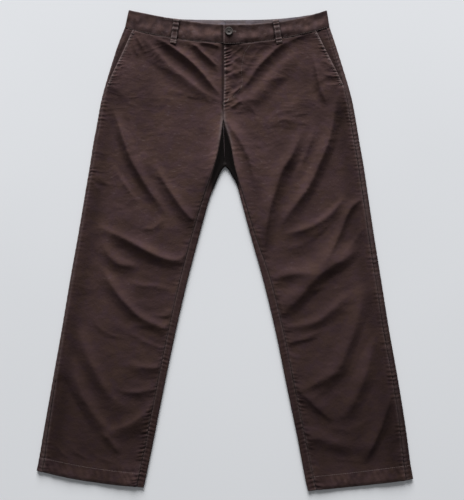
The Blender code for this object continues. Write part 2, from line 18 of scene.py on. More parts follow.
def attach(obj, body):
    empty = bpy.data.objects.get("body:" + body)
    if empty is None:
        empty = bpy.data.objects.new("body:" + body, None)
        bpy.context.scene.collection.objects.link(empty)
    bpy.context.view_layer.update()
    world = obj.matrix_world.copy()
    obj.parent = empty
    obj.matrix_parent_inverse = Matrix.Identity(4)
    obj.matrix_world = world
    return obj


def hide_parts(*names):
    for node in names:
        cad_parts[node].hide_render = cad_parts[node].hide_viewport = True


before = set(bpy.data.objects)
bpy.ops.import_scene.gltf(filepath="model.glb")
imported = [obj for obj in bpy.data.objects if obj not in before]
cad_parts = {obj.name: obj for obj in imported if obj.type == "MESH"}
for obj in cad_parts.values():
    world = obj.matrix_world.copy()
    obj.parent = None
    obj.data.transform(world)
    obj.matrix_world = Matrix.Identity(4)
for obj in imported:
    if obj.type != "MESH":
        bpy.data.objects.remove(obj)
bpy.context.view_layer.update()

MM = 0.001

# Cloth walls and the gap between pieces
WALL = 0.0012
BAND_WALL = 0.0020
LOOP_WALL = 0.0016
GAP = 0.0003
HALF_GAP = GAP / 2

# Heights of the outer faces above the floor
ROLL = 0.0031
EDGE_Z = 2 * ROLL
MIDDLE_Z = 0.0046
WAIST_Z = 0.0060
BAND_ROLL = 0.0033
BAND_Z = 2 * BAND_ROLL
WEB_DIP = 0.0030
WEB_REACH = 0.012

# Lowest height of the front panels, and greatest height pressed into the underside
FRONT_LOWEST = 0.0040
UNDER_HIGHEST = 0.0013

# How far an edge holds the cloth up and holds the folds down, and how deep its rim turns down
EDGE_REACH = 0.030
EDGE_CALM = 0.010
WAIST_CALM = 0.012
HEM_CALM = 0.036
EDGE_LIP = 0.0004

# How far from a seam its relief shows on the back panels, and how far the side fold wavers
SEAM_REACH = 0.06
SIDE_WAVE = 0.0003

# Fly: the right panel laps over the left one down to FLY_BOTTOM
FLY_BOTTOM = 0.334
FLY_CLOSE = 0.006
FLY_BLEND = 0.028
FLY_UNDER_Z = 0.0050
FLY_OVER_Z = FLY_UNDER_Z + WALL + GAP
FLY_UNDERLAP = 0.010
FLY_REACH = 0.034
FLY_FLAT = 0.012

# Curved line of stitches that holds the fly shield, in millimetres
J_STITCH = (
    (57, 461), (45, 445), (39, 420), (37, 400), (39, 380), (36, 364), (27, 353), (14, 342), (3, 336))

# Crotch: the centre back seam comes round the fold and runs up on top to the fork
CROTCH_SEAM_END = (0.0, 0.197)
CROTCH_TURN_ROWS = 6
FORK_Y = 0.31

# Heights at which the look of the hips and that of the lower leg begin to fade out
HIPS_LOW = 0.16
LOW_LEG_TOP = -0.10
LOW_LEG_REACH = 0.24

# Painted shade at heights on the legs: the cloth darkens towards the hems, where the light falls off
LEG_SHADING_Y = (-0.56, -0.50, -0.46, -0.40, -0.30, -0.22, -0.10, 0.0, 0.15, 0.35, 0.56)
LEG_SHADING = (0.72, 0.72, 0.58, 0.56, 0.66, 0.76, 0.84, 0.88, 0.97, 1.0, 1.0)

# Slant pockets: the front panel's edge lies on the facing
POCKET_LIFT = WALL + GAP
POCKET_REACH = 0.022
FACING_UNDER = 0.008
FACING_DROP = 0.0012

# Waistband and its lap at the centre front
BAND_LAP_X = -0.0035
BAND_UNDERLAP_X = 0.022
LAP_LIFT = BAND_WALL + GAP
LAP_FLAT_X = 0.026
LAP_REACH = 0.036

# Swell of the waistband at shares of its height, and its tone there: a painted highlight halfway up and
# painted shade at its edges
BAND_HEIGHTS = (0.0, 0.10, 0.25, 0.45, 0.62, 0.80, 1.0)
BAND_SWELL = (-0.0002, 0.0001, 0.0009, 0.0003, -0.0006, -0.0006, 0.0004)
BAND_PAINTED_LIGHT = (0.72, 0.78, 0.95, 1.18, 1.12, 0.84, 0.72)

# Button, with four holes and a turned profile, how far out it rests on the cloth, and its buttonhole
BUTTON_X = 0.009
BUTTON_Y = 0.491
BUTTON_HOLE_RADIUS = 0.0011
BUTTON_HOLE_OFFSET = 0.0018
BUTTON_HOLE_WAYS = ((-1, -1), (1, -1), (1, 1), (-1, 1))
BUTTON_REST = 0.008
BUTTON_LIFT = 0.0004
BUTTON_STEPS = 72
BUTTON_PROFILE = (
    (0.0, 0.0023), (0.0048, 0.0023), (0.0060, 0.0025), (0.0068, 0.0029), (0.0074, 0.0032),
    (0.0079, 0.0033), (0.0084, 0.0031), (0.0088, 0.0026), (0.0090, 0.0018), (0.0088, 0.0010),
    (0.0080, 0.0004), (0.0064, 0.0), (0.0, 0.0))
BUTTON_MIDDLE = 0.0023
BUTTONHOLE_X = (-0.0005, 0.0235)

# Belt loops
LOOP_WIDTH = 0.0138
LOOP_RIDGES = 5.3
LOOP_RIDGE = 0.00075

# Distances of the stitches from the edges that they follow
LOOP_ROW = 0.0038
POCKET_STITCH = 0.0048
BAND_STITCH = 0.0016
INSIDE_STITCH = 0.0052

# Grids: rows for each row of the section tables, cells across, and how far the underside's cells
# crowd at the centre back and its rolled edge stands out
FINE = 7
FINE_TOP = 11
FRONT_CELLS = 98
FRONT_CROWDING = 0.30
STRIP_CELLS = 5
ROLL_CELLS = 8
UNDER_CELLS = 46
EDGE_OUT = 0.0009
WEB_CELLS = 9
SQUEEZE = 0.0008
BOW_ROWS = 8
FACING_CELLS = 22
BAND_FRONT_CELLS = 120
BAND_BACK_CELLS = 80
BAND_ROLL_CELLS = 10
BAND_HEIGHT_CELLS = 22
LOOP_CELLS = (14, 64)
NOISE_CELLS = 256

# Folds: steps along a crest, share of it that fades out at each end, gain in height, and the depth of
# the valley below a fold as a share of its height
CREST_STEPS = 24
FOLD_ENDS = 0.32
FOLD_GAIN = 1.30
VALLEY = 0.20

# Hem, turned up inside
HEM_DEPTH = 0.031
HEM_STEP = 0.0007

Section = namedtuple("Section", "name rows outer inset end centre_back inner")
Edge = namedtuple("Edge", "side_x middle_y side_y power")
Fold = namedtuple("Fold", "name crest height uphill downhill")
Side = namedtuple(
    "Side", "name sign sections folds creases under_folds hem_bow pocket_top web_corner"
    " front_low front_high back_low back_high loop_top loop_bottom seeds looks")

# One row for each section of a leg, as in the part's own source.
LEFT_SECTIONS = (
    Section("waist", 4, (-0.225, 0.501), 0.004, (-0.0020, 0.468), (0, 0.481), None),
    Section("hip", 4, (-0.243, 0.452), 0.004, (-0.0020, 0.425), (0, 0.412), None),
    Section("pocket end", 2, (-0.268, 0.371), 0.004, (-0.0020, 0.367), (0, 0.290), None),
    Section("seat under", 2, (-0.274, 0.349), 0.004, (-0.0030, 0.346), (0, 0.198), None),
    Section("seat over", 4, (-0.278, 0.332), 0.004, (-0.0035, 0.329), None, (0, 0.190)),
    Section("fork", 4, (-0.286, 0.288), 0.004, (-0.0040, 0.294), None, (-0.008, 0.181)),
    Section("upper thigh", 4, (-0.295, 0.240), 0.004, (-0.012, 0.241), None, (-0.016, 0.165)),
    Section("crotch level", 4, (-0.302, 0.195), 0.004, (-0.025, 0.187), None, (-0.024, 0.146)),
    Section("thigh", 6, (-0.311, 0.142), 0.004, (-0.045, 0.130), None, (-0.034, 0.122)),
    Section("mid thigh", 6, (-0.328, 0.041), 0.004, (-0.073, 0.038), None, (-0.058, 0.036)),
    Section("above knee", 6, (-0.347, -0.065), 0.004, (-0.101, -0.068), None, (-0.086, -0.071)),
    Section("knee", 6, (-0.366, -0.178), 0.004, (-0.127, -0.181), None, (-0.112, -0.184)),
    Section("shin", 6, (-0.386, -0.290), 0.006, (-0.152, -0.301), None, (-0.137, -0.304)),
    Section("calf", 4, (-0.406, -0.403), 0.009, (-0.176, -0.422), None, (-0.161, -0.425)),
    Section("hem line", 2, (-0.417, -0.467), 0.012, (-0.192, -0.501), None, (-0.177, -0.504)),
    Section("hem", 0, (-0.422, -0.493), 0.013, (-0.198, -0.528), None, (-0.183, -0.531)),
)
RIGHT_SECTIONS = (
    Section("waist", 4, (0.235, 0.500), 0.008, (-0.0020, 0.466), (0, 0.481), None),
    Section("hip", 4, (0.251, 0.452), 0.009, (-0.0020, 0.425), (0, 0.412), None),
    Section("pocket end", 2, (0.276, 0.371), 0.010, (-0.0020, 0.367), (0, 0.290), None),
    Section("seat under", 2, (0.282, 0.349), 0.011, (-0.0030, 0.346), (0, 0.198), None),
    Section("seat over", 4, (0.286, 0.332), 0.011, (-0.0035, 0.329), None, (0, 0.190)),
    Section("fork", 4, (0.294, 0.288), 0.011, (-0.0040, 0.294), None, (0.008, 0.183)),
    Section("upper thigh", 4, (0.302, 0.240), 0.011, (0.012, 0.241), None, (0.017, 0.168)),
    Section("crotch level", 4, (0.310, 0.195), 0.011, (0.0220, 0.187), None, (0.0265, 0.151)),
    Section("thigh", 6, (0.318, 0.142), 0.011, (0.0400, 0.126), None, (0.0345, 0.123)),
    Section("mid thigh", 6, (0.333, 0.041), 0.011, (0.067, 0.038), None, (0.058, 0.036)),
    Section("above knee", 6, (0.350, -0.065), 0.012, (0.103, -0.068), None, (0.088, -0.071)),
    Section("knee", 6, (0.368, -0.178), 0.012, (0.131, -0.181), None, (0.115, -0.184)),
    Section("shin", 6, (0.388, -0.290), 0.012, (0.155, -0.299), None, (0.139, -0.302)),
    Section("calf", 4, (0.406, -0.403), 0.013, (0.180, -0.420), None, (0.164, -0.423)),
    Section("hem line", 2, (0.417, -0.485), 0.015, (0.198, -0.509), None, (0.181, -0.512)),
    Section("hem", 0, (0.422, -0.511), 0.016, (0.205, -0.536), None, (0.187, -0.539)),
)

# Folds in millimetres. A crest is a smooth line through its points, with a broad slope on its side
# towards the waist, uphill wide, and a short steep one on the other, downhill wide.
LEFT_FOLDS = (
    Fold("hip to fly", ((-173, 490), (-133, 465), (-107, 447), (-80, 426), (-54, 401), (-27, 368),
         (0, 336)), 8.2, 8, 9),
    Fold("loop to fly", ((-90, 478), (-74, 465), (-61, 454), (-50, 442), (-38, 432), (-24, 419),
         (-6, 403)), 5.4, 7, 6.5),
    Fold("pocket to fly", ((-205, 494), (-160, 452), (-127, 416), (-98, 393), (-66, 367), (-40, 349),
         (-10, 336), (14, 330)), 5.0, 10, 16),
    Fold("hip dash", ((-171, 426), (-141, 413), (-115, 398), (-87, 386)), 0.7, 9, 7),
    Fold("low hip", ((-150, 367), (-112, 357), (-74, 345), (-40, 337)), 1.2, 10, 7),
    Fold("thigh", ((-260, 333), (-240, 294), (-224, 246), (-209, 206), (-186, 165), (-164, 129),
         (-141, 96), (-126, 73)), 10.8, 12, 13),
    Fold("thigh side", ((-251, 195), (-237, 171), (-218, 143), (-201, 119), (-185, 99)), 3.0, 8, 12),
    Fold("inner thigh", ((-161, 211), (-140, 163), (-119, 130), (-99, 100), (-74, 71), (-59, 58),
         (-39, 43)), 7.2, 11, 12),
    Fold("above knee", ((-296, 62), (-262, 45), (-226, 29), (-193, 11), (-168, -2), (-141, -14),
         (-112, -21), (-82, -15), (-56, -4)), 8.0, 11, 15),
    Fold("knee side", ((-282, 34), (-270, 11), (-257, -12), (-238, -28), (-204, -33), (-182, -35)),
         4.6, 15, 13),
    Fold("knee", ((-283, -10), (-273, -37), (-257, -68), (-239, -95), (-216, -122), (-189, -148),
         (-160, -162), (-118, -178), (-90, -189)), 6.4, 12, 14),
    Fold("knee hollow", ((-236, -161), (-208, -169), (-176, -167), (-146, -173), (-112, -187)),
         1.8, 11, 16),
    Fold("knee inner", ((-172, -138), (-146, -146), (-122, -142), (-98, -130)), 1.5, 7, 6),
    Fold("knee inner top", ((-216, -65), (-186, -77), (-154, -79), (-118, -87)), 2.0, 8, 14),
    Fold("under knee", ((-206, -197), (-172, -207), (-142, -219), (-118, -229)), 1.4, 6, 8),
    Fold("knee dash", ((-226, -251), (-190, -259), (-150, -261), (-122, -257)), 3.4, 11, 14),
    Fold("shin", ((-337, -140), (-326, -175), (-313, -214), (-295, -256), (-275, -296), (-255, -327),
         (-233, -347), (-212, -353)), 6.6, 14, 18),
    Fold("shin inner", ((-256, -301), (-226, -315), (-192, -316), (-160, -307), (-132, -293)),
         2.2, 8, 11),
    Fold("calf", ((-347, -228), (-337, -262), (-323, -310), (-301, -353), (-275, -388), (-252, -407),
         (-230, -415)), 6.4, 12, 18),
    Fold("calf inner", ((-272, -405), (-244, -401), (-206, -384), (-175, -361), (-149, -333)),
         4.5, 11, 20),
    Fold("calf tip", ((-282, -400), (-261, -420), (-243, -444), (-235, -462)), 3.2, 11, 12),
)
RIGHT_FOLDS = (
    Fold("hip to fly", ((160, 486), (147, 475), (120, 456), (93, 431), (71, 408), (50, 376), (35, 360),
         (20, 346)), 6.6, 10, 11),
    Fold("fly side", ((92, 466), (67, 440), (47, 410), (35, 386)), 0.8, 4, 6),
    Fold("broad hip", ((172, 452), (140, 420), (102, 382), (72, 352), (34, 329), (0, 315)), 5.2, 19, 20),
    Fold("hip dash", ((92, 378), (112, 385), (138, 388)), 1.2, 9, 10),
    Fold("low hip", ((38, 342), (64, 338), (94, 334)), 0.6, 6, 6),
    Fold("fork dash", ((46, 330), (62, 318), (72, 296), (74, 278)), 1.7, 7, 7),
    Fold("pocket bag", ((195, 447), (200, 429), (207, 391), (217, 351), (236, 321)), 5.4, 15, 7),
    Fold("thigh dash", ((92, 289), (122, 293), (158, 291), (196, 285)), 1.3, 9, 12),
    Fold("outer thigh", ((262, 373), (246, 322), (238, 280), (231, 249), (209, 194), (185, 142),
         (158, 104), (128, 61), (116, 39)), 11.2, 12, 14),
    Fold("thigh between", ((203, 288), (195, 256), (183, 222), (165, 182), (147, 148)), 3.6, 10, 9),
    Fold("middle thigh", ((181, 291), (165, 253), (145, 208), (124, 173), (113, 137), (101, 101),
         (92, 56), (88, 4), (79, -29)), 10.6, 15, 13),
    Fold("inner thigh", ((0, 316), (8, 290), (32, 250), (55, 205), (66, 164), (73, 110)), 5.4, 17, 11),
    Fold("side above knee", ((323, 130), (306, 115), (288, 104), (272, 79), (256, 40), (238, 1),
         (211, -44)), 7.5, 11, 12),
    Fold("middle above knee", ((284, 134), (266, 119), (244, 90), (217, 68), (181, 50), (140, 38),
         (116, 32)), 5.0, 11, 14),
    Fold("inner above knee", ((256, 82), (238, 64), (217, 46), (194, 27), (165, 11), (131, 3),
         (104, -1)), 2.5, 17, 11),
    Fold("knee", ((322, 17), (299, 11), (270, -13), (241, -31), (209, -52), (184, -79), (162, -106),
         (139, -127), (115, -147), (99, -159)), 10.5, 26, 17),
    Fold("knee top", ((318, 60), (298, 34), (284, 12), (268, -8)), 1.3, 8, 9),
    Fold("small knee", ((206, -45), (186, -49), (160, -50), (128, -56), (100, -65)), 5.2, 15, 15),
    Fold("knee low dash", ((184, -93), (214, -85), (244, -79), (268, -79)), 2.5, 12, 14),
    Fold("below knee", ((299, -83), (268, -105), (245, -127), (218, -150), (192, -163), (163, -168),
         (127, -175), (104, -181)), 4.6, 13, 16),
    Fold("below knee dash", ((178, -195), (206, -185), (232, -179)), 1.3, 7, 6),
    Fold("lower knee", ((231, -183), (208, -193), (184, -197), (156, -203), (127, -209), (106, -213)),
         3.4, 16, 9),
    Fold("shin", ((320, -61), (308, -99), (298, -141), (285, -188), (268, -228), (256, -260),
         (231, -282), (198, -300), (168, -306), (142, -304)), 6.8, 18, 16),
    Fold("calf", ((338, -166), (328, -216), (312, -277), (294, -324), (276, -358), (252, -380),
         (232, -384)), 6.6, 17, 16),
    Fold("calf inner", ((263, -379), (238, -375), (210, -353), (186, -331), (160, -309), (142, -297)),
         4.0, 18, 11),
    Fold("calf low", ((216, -392), (240, -398), (270, -400), (302, -390), (326, -368)), 1.4, 11, 14),
    Fold("calf side", ((378, -299), (369, -331), (351, -385), (333, -429), (315, -469), (306, -490)),
         6.4, 17, 11),
    Fold("above hem", ((157, -395), (179, -407), (207, -419), (237, -428), (275, -435), (300, -436)),
         3.9, 16, 18),
)

# Creases: short and sharp, in millimetres too
LEFT_CREASES = (
    Fold("pocket ray", ((-204, 488), (-190, 466), (-177, 439)), 1.9, 5, 5),
    Fold("pocket ray low", ((-206, 486), (-202, 457), (-193, 430)), 1.6, 5, 4),
    Fold("band ray", ((-176, 498), (-150, 489), (-122, 474)), 1.8, 4, 4),
    Fold("seam dash", ((-64, 469), (-46, 465), (-26, 461), (-4, 453)), 2.5, 7, 4),
    Fold("fly ray high", ((-30, 436), (-16, 424), (-3, 410)), 1.0, 4, 4),
    Fold("fly ray", ((-40, 430), (-22, 412), (-8, 392)), 0.7, 4, 6),
    Fold("crescent", ((-196, 50), (-184, 50), (-163, 50), (-145, 65), (-136, 80)), 1.4, 8, 7),
    Fold("hem outer", ((-384, -426), (-377, -436), (-364, -454), (-343, -470)), 1.0, 6, 6),
    Fold("hem middle", ((-356, -432), (-348, -441), (-321, -460), (-289, -473)), 0.9, 5, 7),
    Fold("hem inner", ((-312, -440), (-294, -456), (-266, -470), (-240, -474)), 0.9, 6, 7),
    Fold("shin line", ((-296, -128), (-284, -168), (-254, -189), (-212, -198)), 0.9, 4, 5),
    Fold("side thigh", ((-290, 168), (-262, 150), (-232, 144)), 0.9, 8, 6),
)
RIGHT_CREASES = (
    Fold("pocket pucker top", ((208, 421), (220, 424), (238, 414), (252, 412)), 1.2, 9, 7),
    Fold("pocket pucker", ((214, 396), (240, 391), (264, 390)), 1.7, 7, 6),
    Fold("pocket pucker low", ((216, 372), (246, 372), (266, 373)), 0.9, 6, 4),
    Fold("band ray", ((140, 494), (122, 478), (100, 462)), 1.5, 4, 5),
    Fold("pocket ray", ((196, 489), (166, 479), (138, 467)), 1.2, 5, 4),
    Fold("fly middle", ((48, 412), (28, 398), (6, 393)), 1.9, 7, 7),
    Fold("fly low", ((40, 372), (24, 357), (6, 349)), 1.4, 4, 4),
    Fold("fork", ((47, 343), (23, 327), (3, 314)), 1.1, 7, 4),
    Fold("inseam dash", ((166, -420), (174, -425), (190, -436), (208, -448)), 0.9, 6, 5),
    Fold("hem middle", ((200, -452), (232, -462), (262, -470), (300, -472)), 0.9, 6, 5),
    Fold("inseam knee", ((138, -86), (118, -100), (100, -100)), 0.7, 5, 4),
    Fold("outer hip", ((196, 318), (172, 306), (140, 304)), 0.9, 8, 7),
)

# Troughs pressed into the underside, in millimetres
LEFT_UNDER_FOLDS = (
    Fold("seat", ((-190, 452), (-120, 400), (-30, 368)), 1.3, 16, 9),
    Fold("seat low", ((-222, 352), (-150, 300), (-70, 262)), 1.5, 18, 10),
    Fold("under seat", ((-272, 262), (-190, 214), (-84, 168)), 1.6, 16, 9),
    Fold("thigh", ((-300, 120), (-220, 86), (-110, 76)), 1.2, 15, 9),
    Fold("behind knee", ((-330, -36), (-236, -72), (-112, -58)), 1.7, 17, 9),
    Fold("behind knee low", ((-344, -118), (-262, -158), (-138, -150)), 1.5, 16, 9),
    Fold("calf", ((-372, -262), (-290, -306), (-176, -300)), 1.2, 17, 10),
    Fold("ankle", ((-392, -396), (-312, -424), (-204, -412)), 1.1, 16, 10),
)
RIGHT_UNDER_FOLDS = (
    Fold("seat", ((196, 446), (128, 402), (34, 362)), 1.4, 15, 9),
    Fold("seat low", ((236, 344), (160, 286), (66, 258)), 1.3, 19, 10),
    Fold("under seat", ((282, 248), (196, 208), (88, 176)), 1.6, 17, 9),
    Fold("thigh", ((306, 96), (230, 64), (118, 62)), 1.3, 15, 9),
    Fold("behind knee", ((338, -48), (246, -88), (114, -66)), 1.7, 17, 9),
    Fold("behind knee low", ((352, -136), (268, -170), (146, -160)), 1.4, 15, 9),
    Fold("calf", ((376, -274), (286, -318), (178, -310)), 1.3, 17, 10),
    Fold("ankle", ((398, -402), (318, -438), (206, -430)), 1.0, 16, 10),
)

# What differs between the sides. The side seam's wear on the front and on the back's strip, and how
# much it draws in, are given for the upper and the lower leg. The others are shares of painted shade
# beside the side seam, under the waistband, at the hip and on the back's inner and outer strips, and of
# wear along the fly.
Looks = namedtuple(
    "Looks", "front_wear strip_wear pull beside_seam under_band hip inner_strip outer_strip fly_wear",
    defaults=(0, 0, 0, 0))

# Seeds of the noise on each panel
Seeds = namedtuple("Seeds", "front back band")

LEFT = Side(
    name="left", sign=-1, sections=LEFT_SECTIONS, folds=LEFT_FOLDS, creases=LEFT_CREASES,
    under_folds=LEFT_UNDER_FOLDS, hem_bow=0.0060,
    pocket_top=(-0.207, 0.495), web_corner=(-0.0043, 0.287),
    front_low=Edge(0.225, 0.465, 0.4990, 1.74), front_high=Edge(0.216, 0.507, 0.540, 1.45),
    back_low=Edge(0.225, 0.480, 0.4990, 2.8), back_high=Edge(0.216, 0.519, 0.540, 3.2),
    loop_top=(-0.108, 0.519), loop_bottom=(-0.116, 0.463), seeds=Seeds(20, 50, 70),
    looks=Looks((0.55, 0.55), (0.50, 0.50), (1.0, 1.0), 0.30, 0.26, inner_strip=0.14))
RIGHT = Side(
    name="right", sign=1, sections=RIGHT_SECTIONS, folds=RIGHT_FOLDS, creases=RIGHT_CREASES,
    under_folds=RIGHT_UNDER_FOLDS, hem_bow=0.0020,
    pocket_top=(0.205, 0.495), web_corner=(-0.0032, 0.287),
    front_low=Edge(0.235, 0.462, 0.500, 1.68), front_high=Edge(0.229, 0.5062, 0.539, 2.35),
    back_low=Edge(0.235, 0.480, 0.500, 2.6), back_high=Edge(0.229, 0.519, 0.539, 3.2),
    loop_top=(0.113, 0.517), loop_bottom=(0.122, 0.463), seeds=Seeds(30, 60, 80),
    looks=Looks(
        (0.66, 0.36), (0.58, 0.30), (1.0, 2.3), 0.24, 0.40, hip=0.24, outer_strip=0.30, fly_wear=1))


# Curves and weights

def fade(distance, reach):
    """1 at an edge, falling smoothly to 0 at reach from it."""
    share = np.clip(distance / reach, 0.0, 1.0)
    return 1 - share * share * (3 - 2 * share)


def bell(distance, width):
    """1 on a line, falling off smoothly to both sides of it."""
    return np.exp(-(distance / width) ** 2)


def mix(start, end, share):
    return start + (end - start) * share


def unit(vectors):
    return vectors / np.linalg.norm(vectors, axis=-1, keepdims=True)


def lengths_along(points):
    """Length from the first point to each point of a line."""
    steps = np.linalg.norm(np.diff(points, axis=0), axis=-1)
    return np.concatenate([np.zeros_like(steps[:1]), np.cumsum(steps, axis=0)])


def hermite(knots, values, at):
    """Smooth curve through the values at their knots, read at other places."""
    slopes = np.gradient(values, knots, axis=0)
    cell = np.clip(np.searchsorted(knots, at, side="right") - 1, 0, len(knots) - 2)
    length = (knots[cell + 1] - knots[cell])[:, None]
    share = (np.asarray(at, dtype=float) - knots[cell])[:, None] / length
    leave, arrive = slopes[cell] * length, slopes[cell + 1] * length
    return (values[cell] * (1 + 2 * share) * (1 - share) ** 2
            + values[cell + 1] * share ** 2 * (3 - 2 * share)
            + leave * share * (1 - share) ** 2 + arrive * share ** 2 * (share - 1))


def soft_noise(u, v, seed):
    """Smooth random values from -1 to 1 that change over about one unit of u and of v."""
    lattice = np.random.default_rng(seed).uniform(-1, 1, (NOISE_CELLS, NOISE_CELLS))
    column, row = np.floor(u).astype(int), np.floor(v).astype(int)
    across, up = (part * part * (3 - 2 * part) for part in (u - column, v - row))
    corner = [[lattice[(row + i) % NOISE_CELLS, (column + j) % NOISE_CELLS] for j in (0, 1)]
              for i in (0, 1)]
    return mix(mix(corner[0][0], corner[0][1], across), mix(corner[1][0], corner[1][1], across), up)


def turned_noise(x, y, degrees, long, short, seed):
    """Noise in streaks, long by short in size, that run at an angle to X."""
    angle = math.radians(degrees)
    u = x * math.cos(angle) + y * math.sin(angle)
    v = y * math.cos(angle) - x * math.sin(angle)
    return soft_noise(u / long, v / short, seed)


def pucker(along, period, seed):
    """Uneven ripple of a sewn seam, from -1 to 1, with crests about a period apart."""
    still = np.zeros_like(along)
    phase = along / period + 0.55 * soft_noise(along / (2.1 * period), still, seed)
    amount = 0.55 + 0.45 * soft_noise(along / (1.3 * period), still + 7.5, seed)
    return amount * np.sin(2 * np.pi * phase)


# Section tables

def section_rows(sections):
    """Row number of each section."""
    return np.cumsum([0] + [section.rows for section in sections[:-1]])


def row_of(side, name):
    names = [section.name for section in side.sections]
    return int(section_rows(side.sections)[names.index(name)])


def fine_rows(side):
    """Rows of the mesh, closer together from the waist to the pocket's end."""
    change, last = row_of(side, "pocket end"), section_rows(side.sections)[-1]
    top = np.arange(0, change * FINE_TOP) / FINE_TOP
    return np.concatenate([top, np.arange(change * FINE, last * FINE + 1) / FINE])


def index_of(side, name):
    """Place of a section in the mesh's rows."""
    return int(np.searchsorted(fine_rows(side), row_of(side, name)))


def trace(sections, column, row, first_row=0):
    """Points at the given rows on a smooth curve through one column of the section table."""
    at = first_row + section_rows(sections)
    filled = [(knot, getattr(section, column)) for knot, section in zip(at, sections)
              if getattr(section, column) is not None]
    knots = np.array([knot for knot, value in filled], dtype=float)
    values = np.array([value for knot, value in filled], dtype=float).reshape(len(knots), -1)
    return hermite(knots, values, row)


def edge_y(edge, x):
    """Y of a waistband edge at x."""
    return mix(edge.middle_y, edge.side_y, (np.abs(x) / edge.side_x) ** edge.power)


def outward(side, points, inside):
    """Unit directions across a fold line, away from the leg, one for each of its points."""
    along = unit(np.gradient(points, axis=0))
    across = np.stack([along[:, 1], -along[:, 0]], axis=1) * side.sign
    return across if inside else -across


# Seams and outlines of the panels

def side_fold(side, row):
    """Outer fold line and its outward directions."""
    outer = trace(side.sections, "outer", row)
    out = outward(side, outer, inside=False)
    wave = SIDE_WAVE * pucker(lengths_along(outer), SIDE_PUCKER.period * 1.7, 60 + side.sign)
    return outer + out * (wave - SIDE_WAVE)[:, None], out


def side_seam(side, row):
    """Side seam on top of the leg, inside the outer fold."""
    outer = trace(side.sections, "outer", row)
    out = outward(side, outer, inside=False)
    return outer - out * trace(side.sections, "inset", row)


def inner_seam(side, row):
    """Centre front down to the fork, where it turns a corner, and then the inseam."""
    fork = [section.name for section in side.sections].index("fork")
    fork_row = row_of(side, "fork")
    above = trace(side.sections[:fork + 1], "end", row)
    below = trace(side.sections[fork:], "end", row, fork_row)
    return np.where(row[:, None] < fork_row, above, below)


def front_edge(side, row):
    """Outer edge of the front panel: the slant pocket, then the side seam."""
    points = side_seam(side, row)
    points[:, 0] -= side.sign * HALF_GAP
    pocket_row = row_of(side, "pocket end")
    share = np.clip(row / pocket_row, 0.0, 1.0)[:, None]
    pocket_end = points[np.searchsorted(row, pocket_row)]
    slant = mix(np.array(side.pocket_top), pocket_end, share)
    return np.where(share < 1, slant, points)


def front_end(side, row):
    """Inner edge of the front panel; the left one runs on under the fly."""
    points = inner_seam(side, row)
    points[:, 0] += side.sign * HALF_GAP
    if side is LEFT:
        points[:, 0] += FLY_UNDERLAP * fade(FLY_BOTTOM - points[:, 1], FLY_CLOSE)
    return points


def bow_to_waist(points, row, edge):
    """Bend the upper rows of a panel so that its first row follows the waist seam."""
    bow = edge_y(edge, points[0, :, 0]) - HALF_GAP - points[0, :, 1]
    points[..., 1] += bow * np.clip(1 - row / BOW_ROWS, 0, 1)[:, None] ** 2


def bow_to_hem(points, row, side):
    """Bend the last rows of a panel so that the hem hangs a little lower in its middle."""
    hem = side.sections[-1]
    share = (points[..., 0] - hem.outer[0]) / (hem.inner[0] - hem.outer[0])
    near_hem = 1 - np.clip((row[-1] - row) / BOW_ROWS, 0, 1)
    points[..., 1] -= side.hem_bow * np.sin(np.pi * np.clip(share, 0, 1)) * near_hem[:, None] ** 2


# Seams as relief: a groove along the stitches, a ridge of folded cloth beside it, and puckers

Seam = namedtuple("Seam", "groove groove_width ridge ridge_at ridge_width pucker period reach slant")
SIDE_PUCKER = Seam(0.0006, 0.0014, 0.0006, 0.0055, 0.0030, 0.00062, 0.0090, 0.014, 0.15)
INSEAM = Seam(0.0006, 0.0014, 0.0006, 0.0055, 0.0030, 0.00060, 0.0090, 0.016, -0.15)
WAIST_SEAM = Seam(0.0003, 0.0014, 0.0000, 0.0050, 0.0030, 0.00080, 0.0125, 0.013, 0.2)
POCKET_SEAM = Seam(0.0000, 0.0010, 0.0009, 0.0022, 0.0022, 0.00110, 0.0078, 0.013, 0.3)
FLY_SEAM = Seam(0.0000, 0.0010, 0.0010, 0.0025, 0.0026, 0.00210, 0.0082, 0.017, 0.30)
FORK_SEAM = Seam(0.0007, 0.0014, 0.0004, 0.0050, 0.0030, 0.00018, 0.0095, 0.011, 0.2)


def inseam_pull(to_hem):
    """How strongly the inseam puckers at a height above the hem."""
    low = mix(0.8, 3.4, fade(to_hem - 0.10, 0.42))
    return mix(0.25, low, fade(to_hem - 0.60, 0.10))


def side_pull(side, y):
    """How strongly the side seam puckers at a height on the leg."""
    return mix(*side.looks.pull, on_low_leg(y))


def seam_relief(seam, distance, along, seed, drawn_up=1.0):
    """Height of a seam's relief, from the distance to it and the length along it."""
    drawn = 0.75 + 0.6 * soft_noise(along / (0.9 * seam.period), distance * 0, seed + 8)
    relief = -seam.groove * drawn * bell(distance, seam.groove_width)
    relief += seam.ridge * bell(distance - seam.ridge_at, seam.ridge_width)
    ripple = pucker(along + seam.slant * distance, seam.period, seed)
    held = bell(np.maximum(distance - 0.35 * seam.reach, 0), 0.5 * seam.reach)
    strength = 0.82 + 0.7 * soft_noise(along / (3.4 * seam.period), distance * 0, seed + 5)
    return relief + seam.pucker * ripple * held * strength * drawn_up


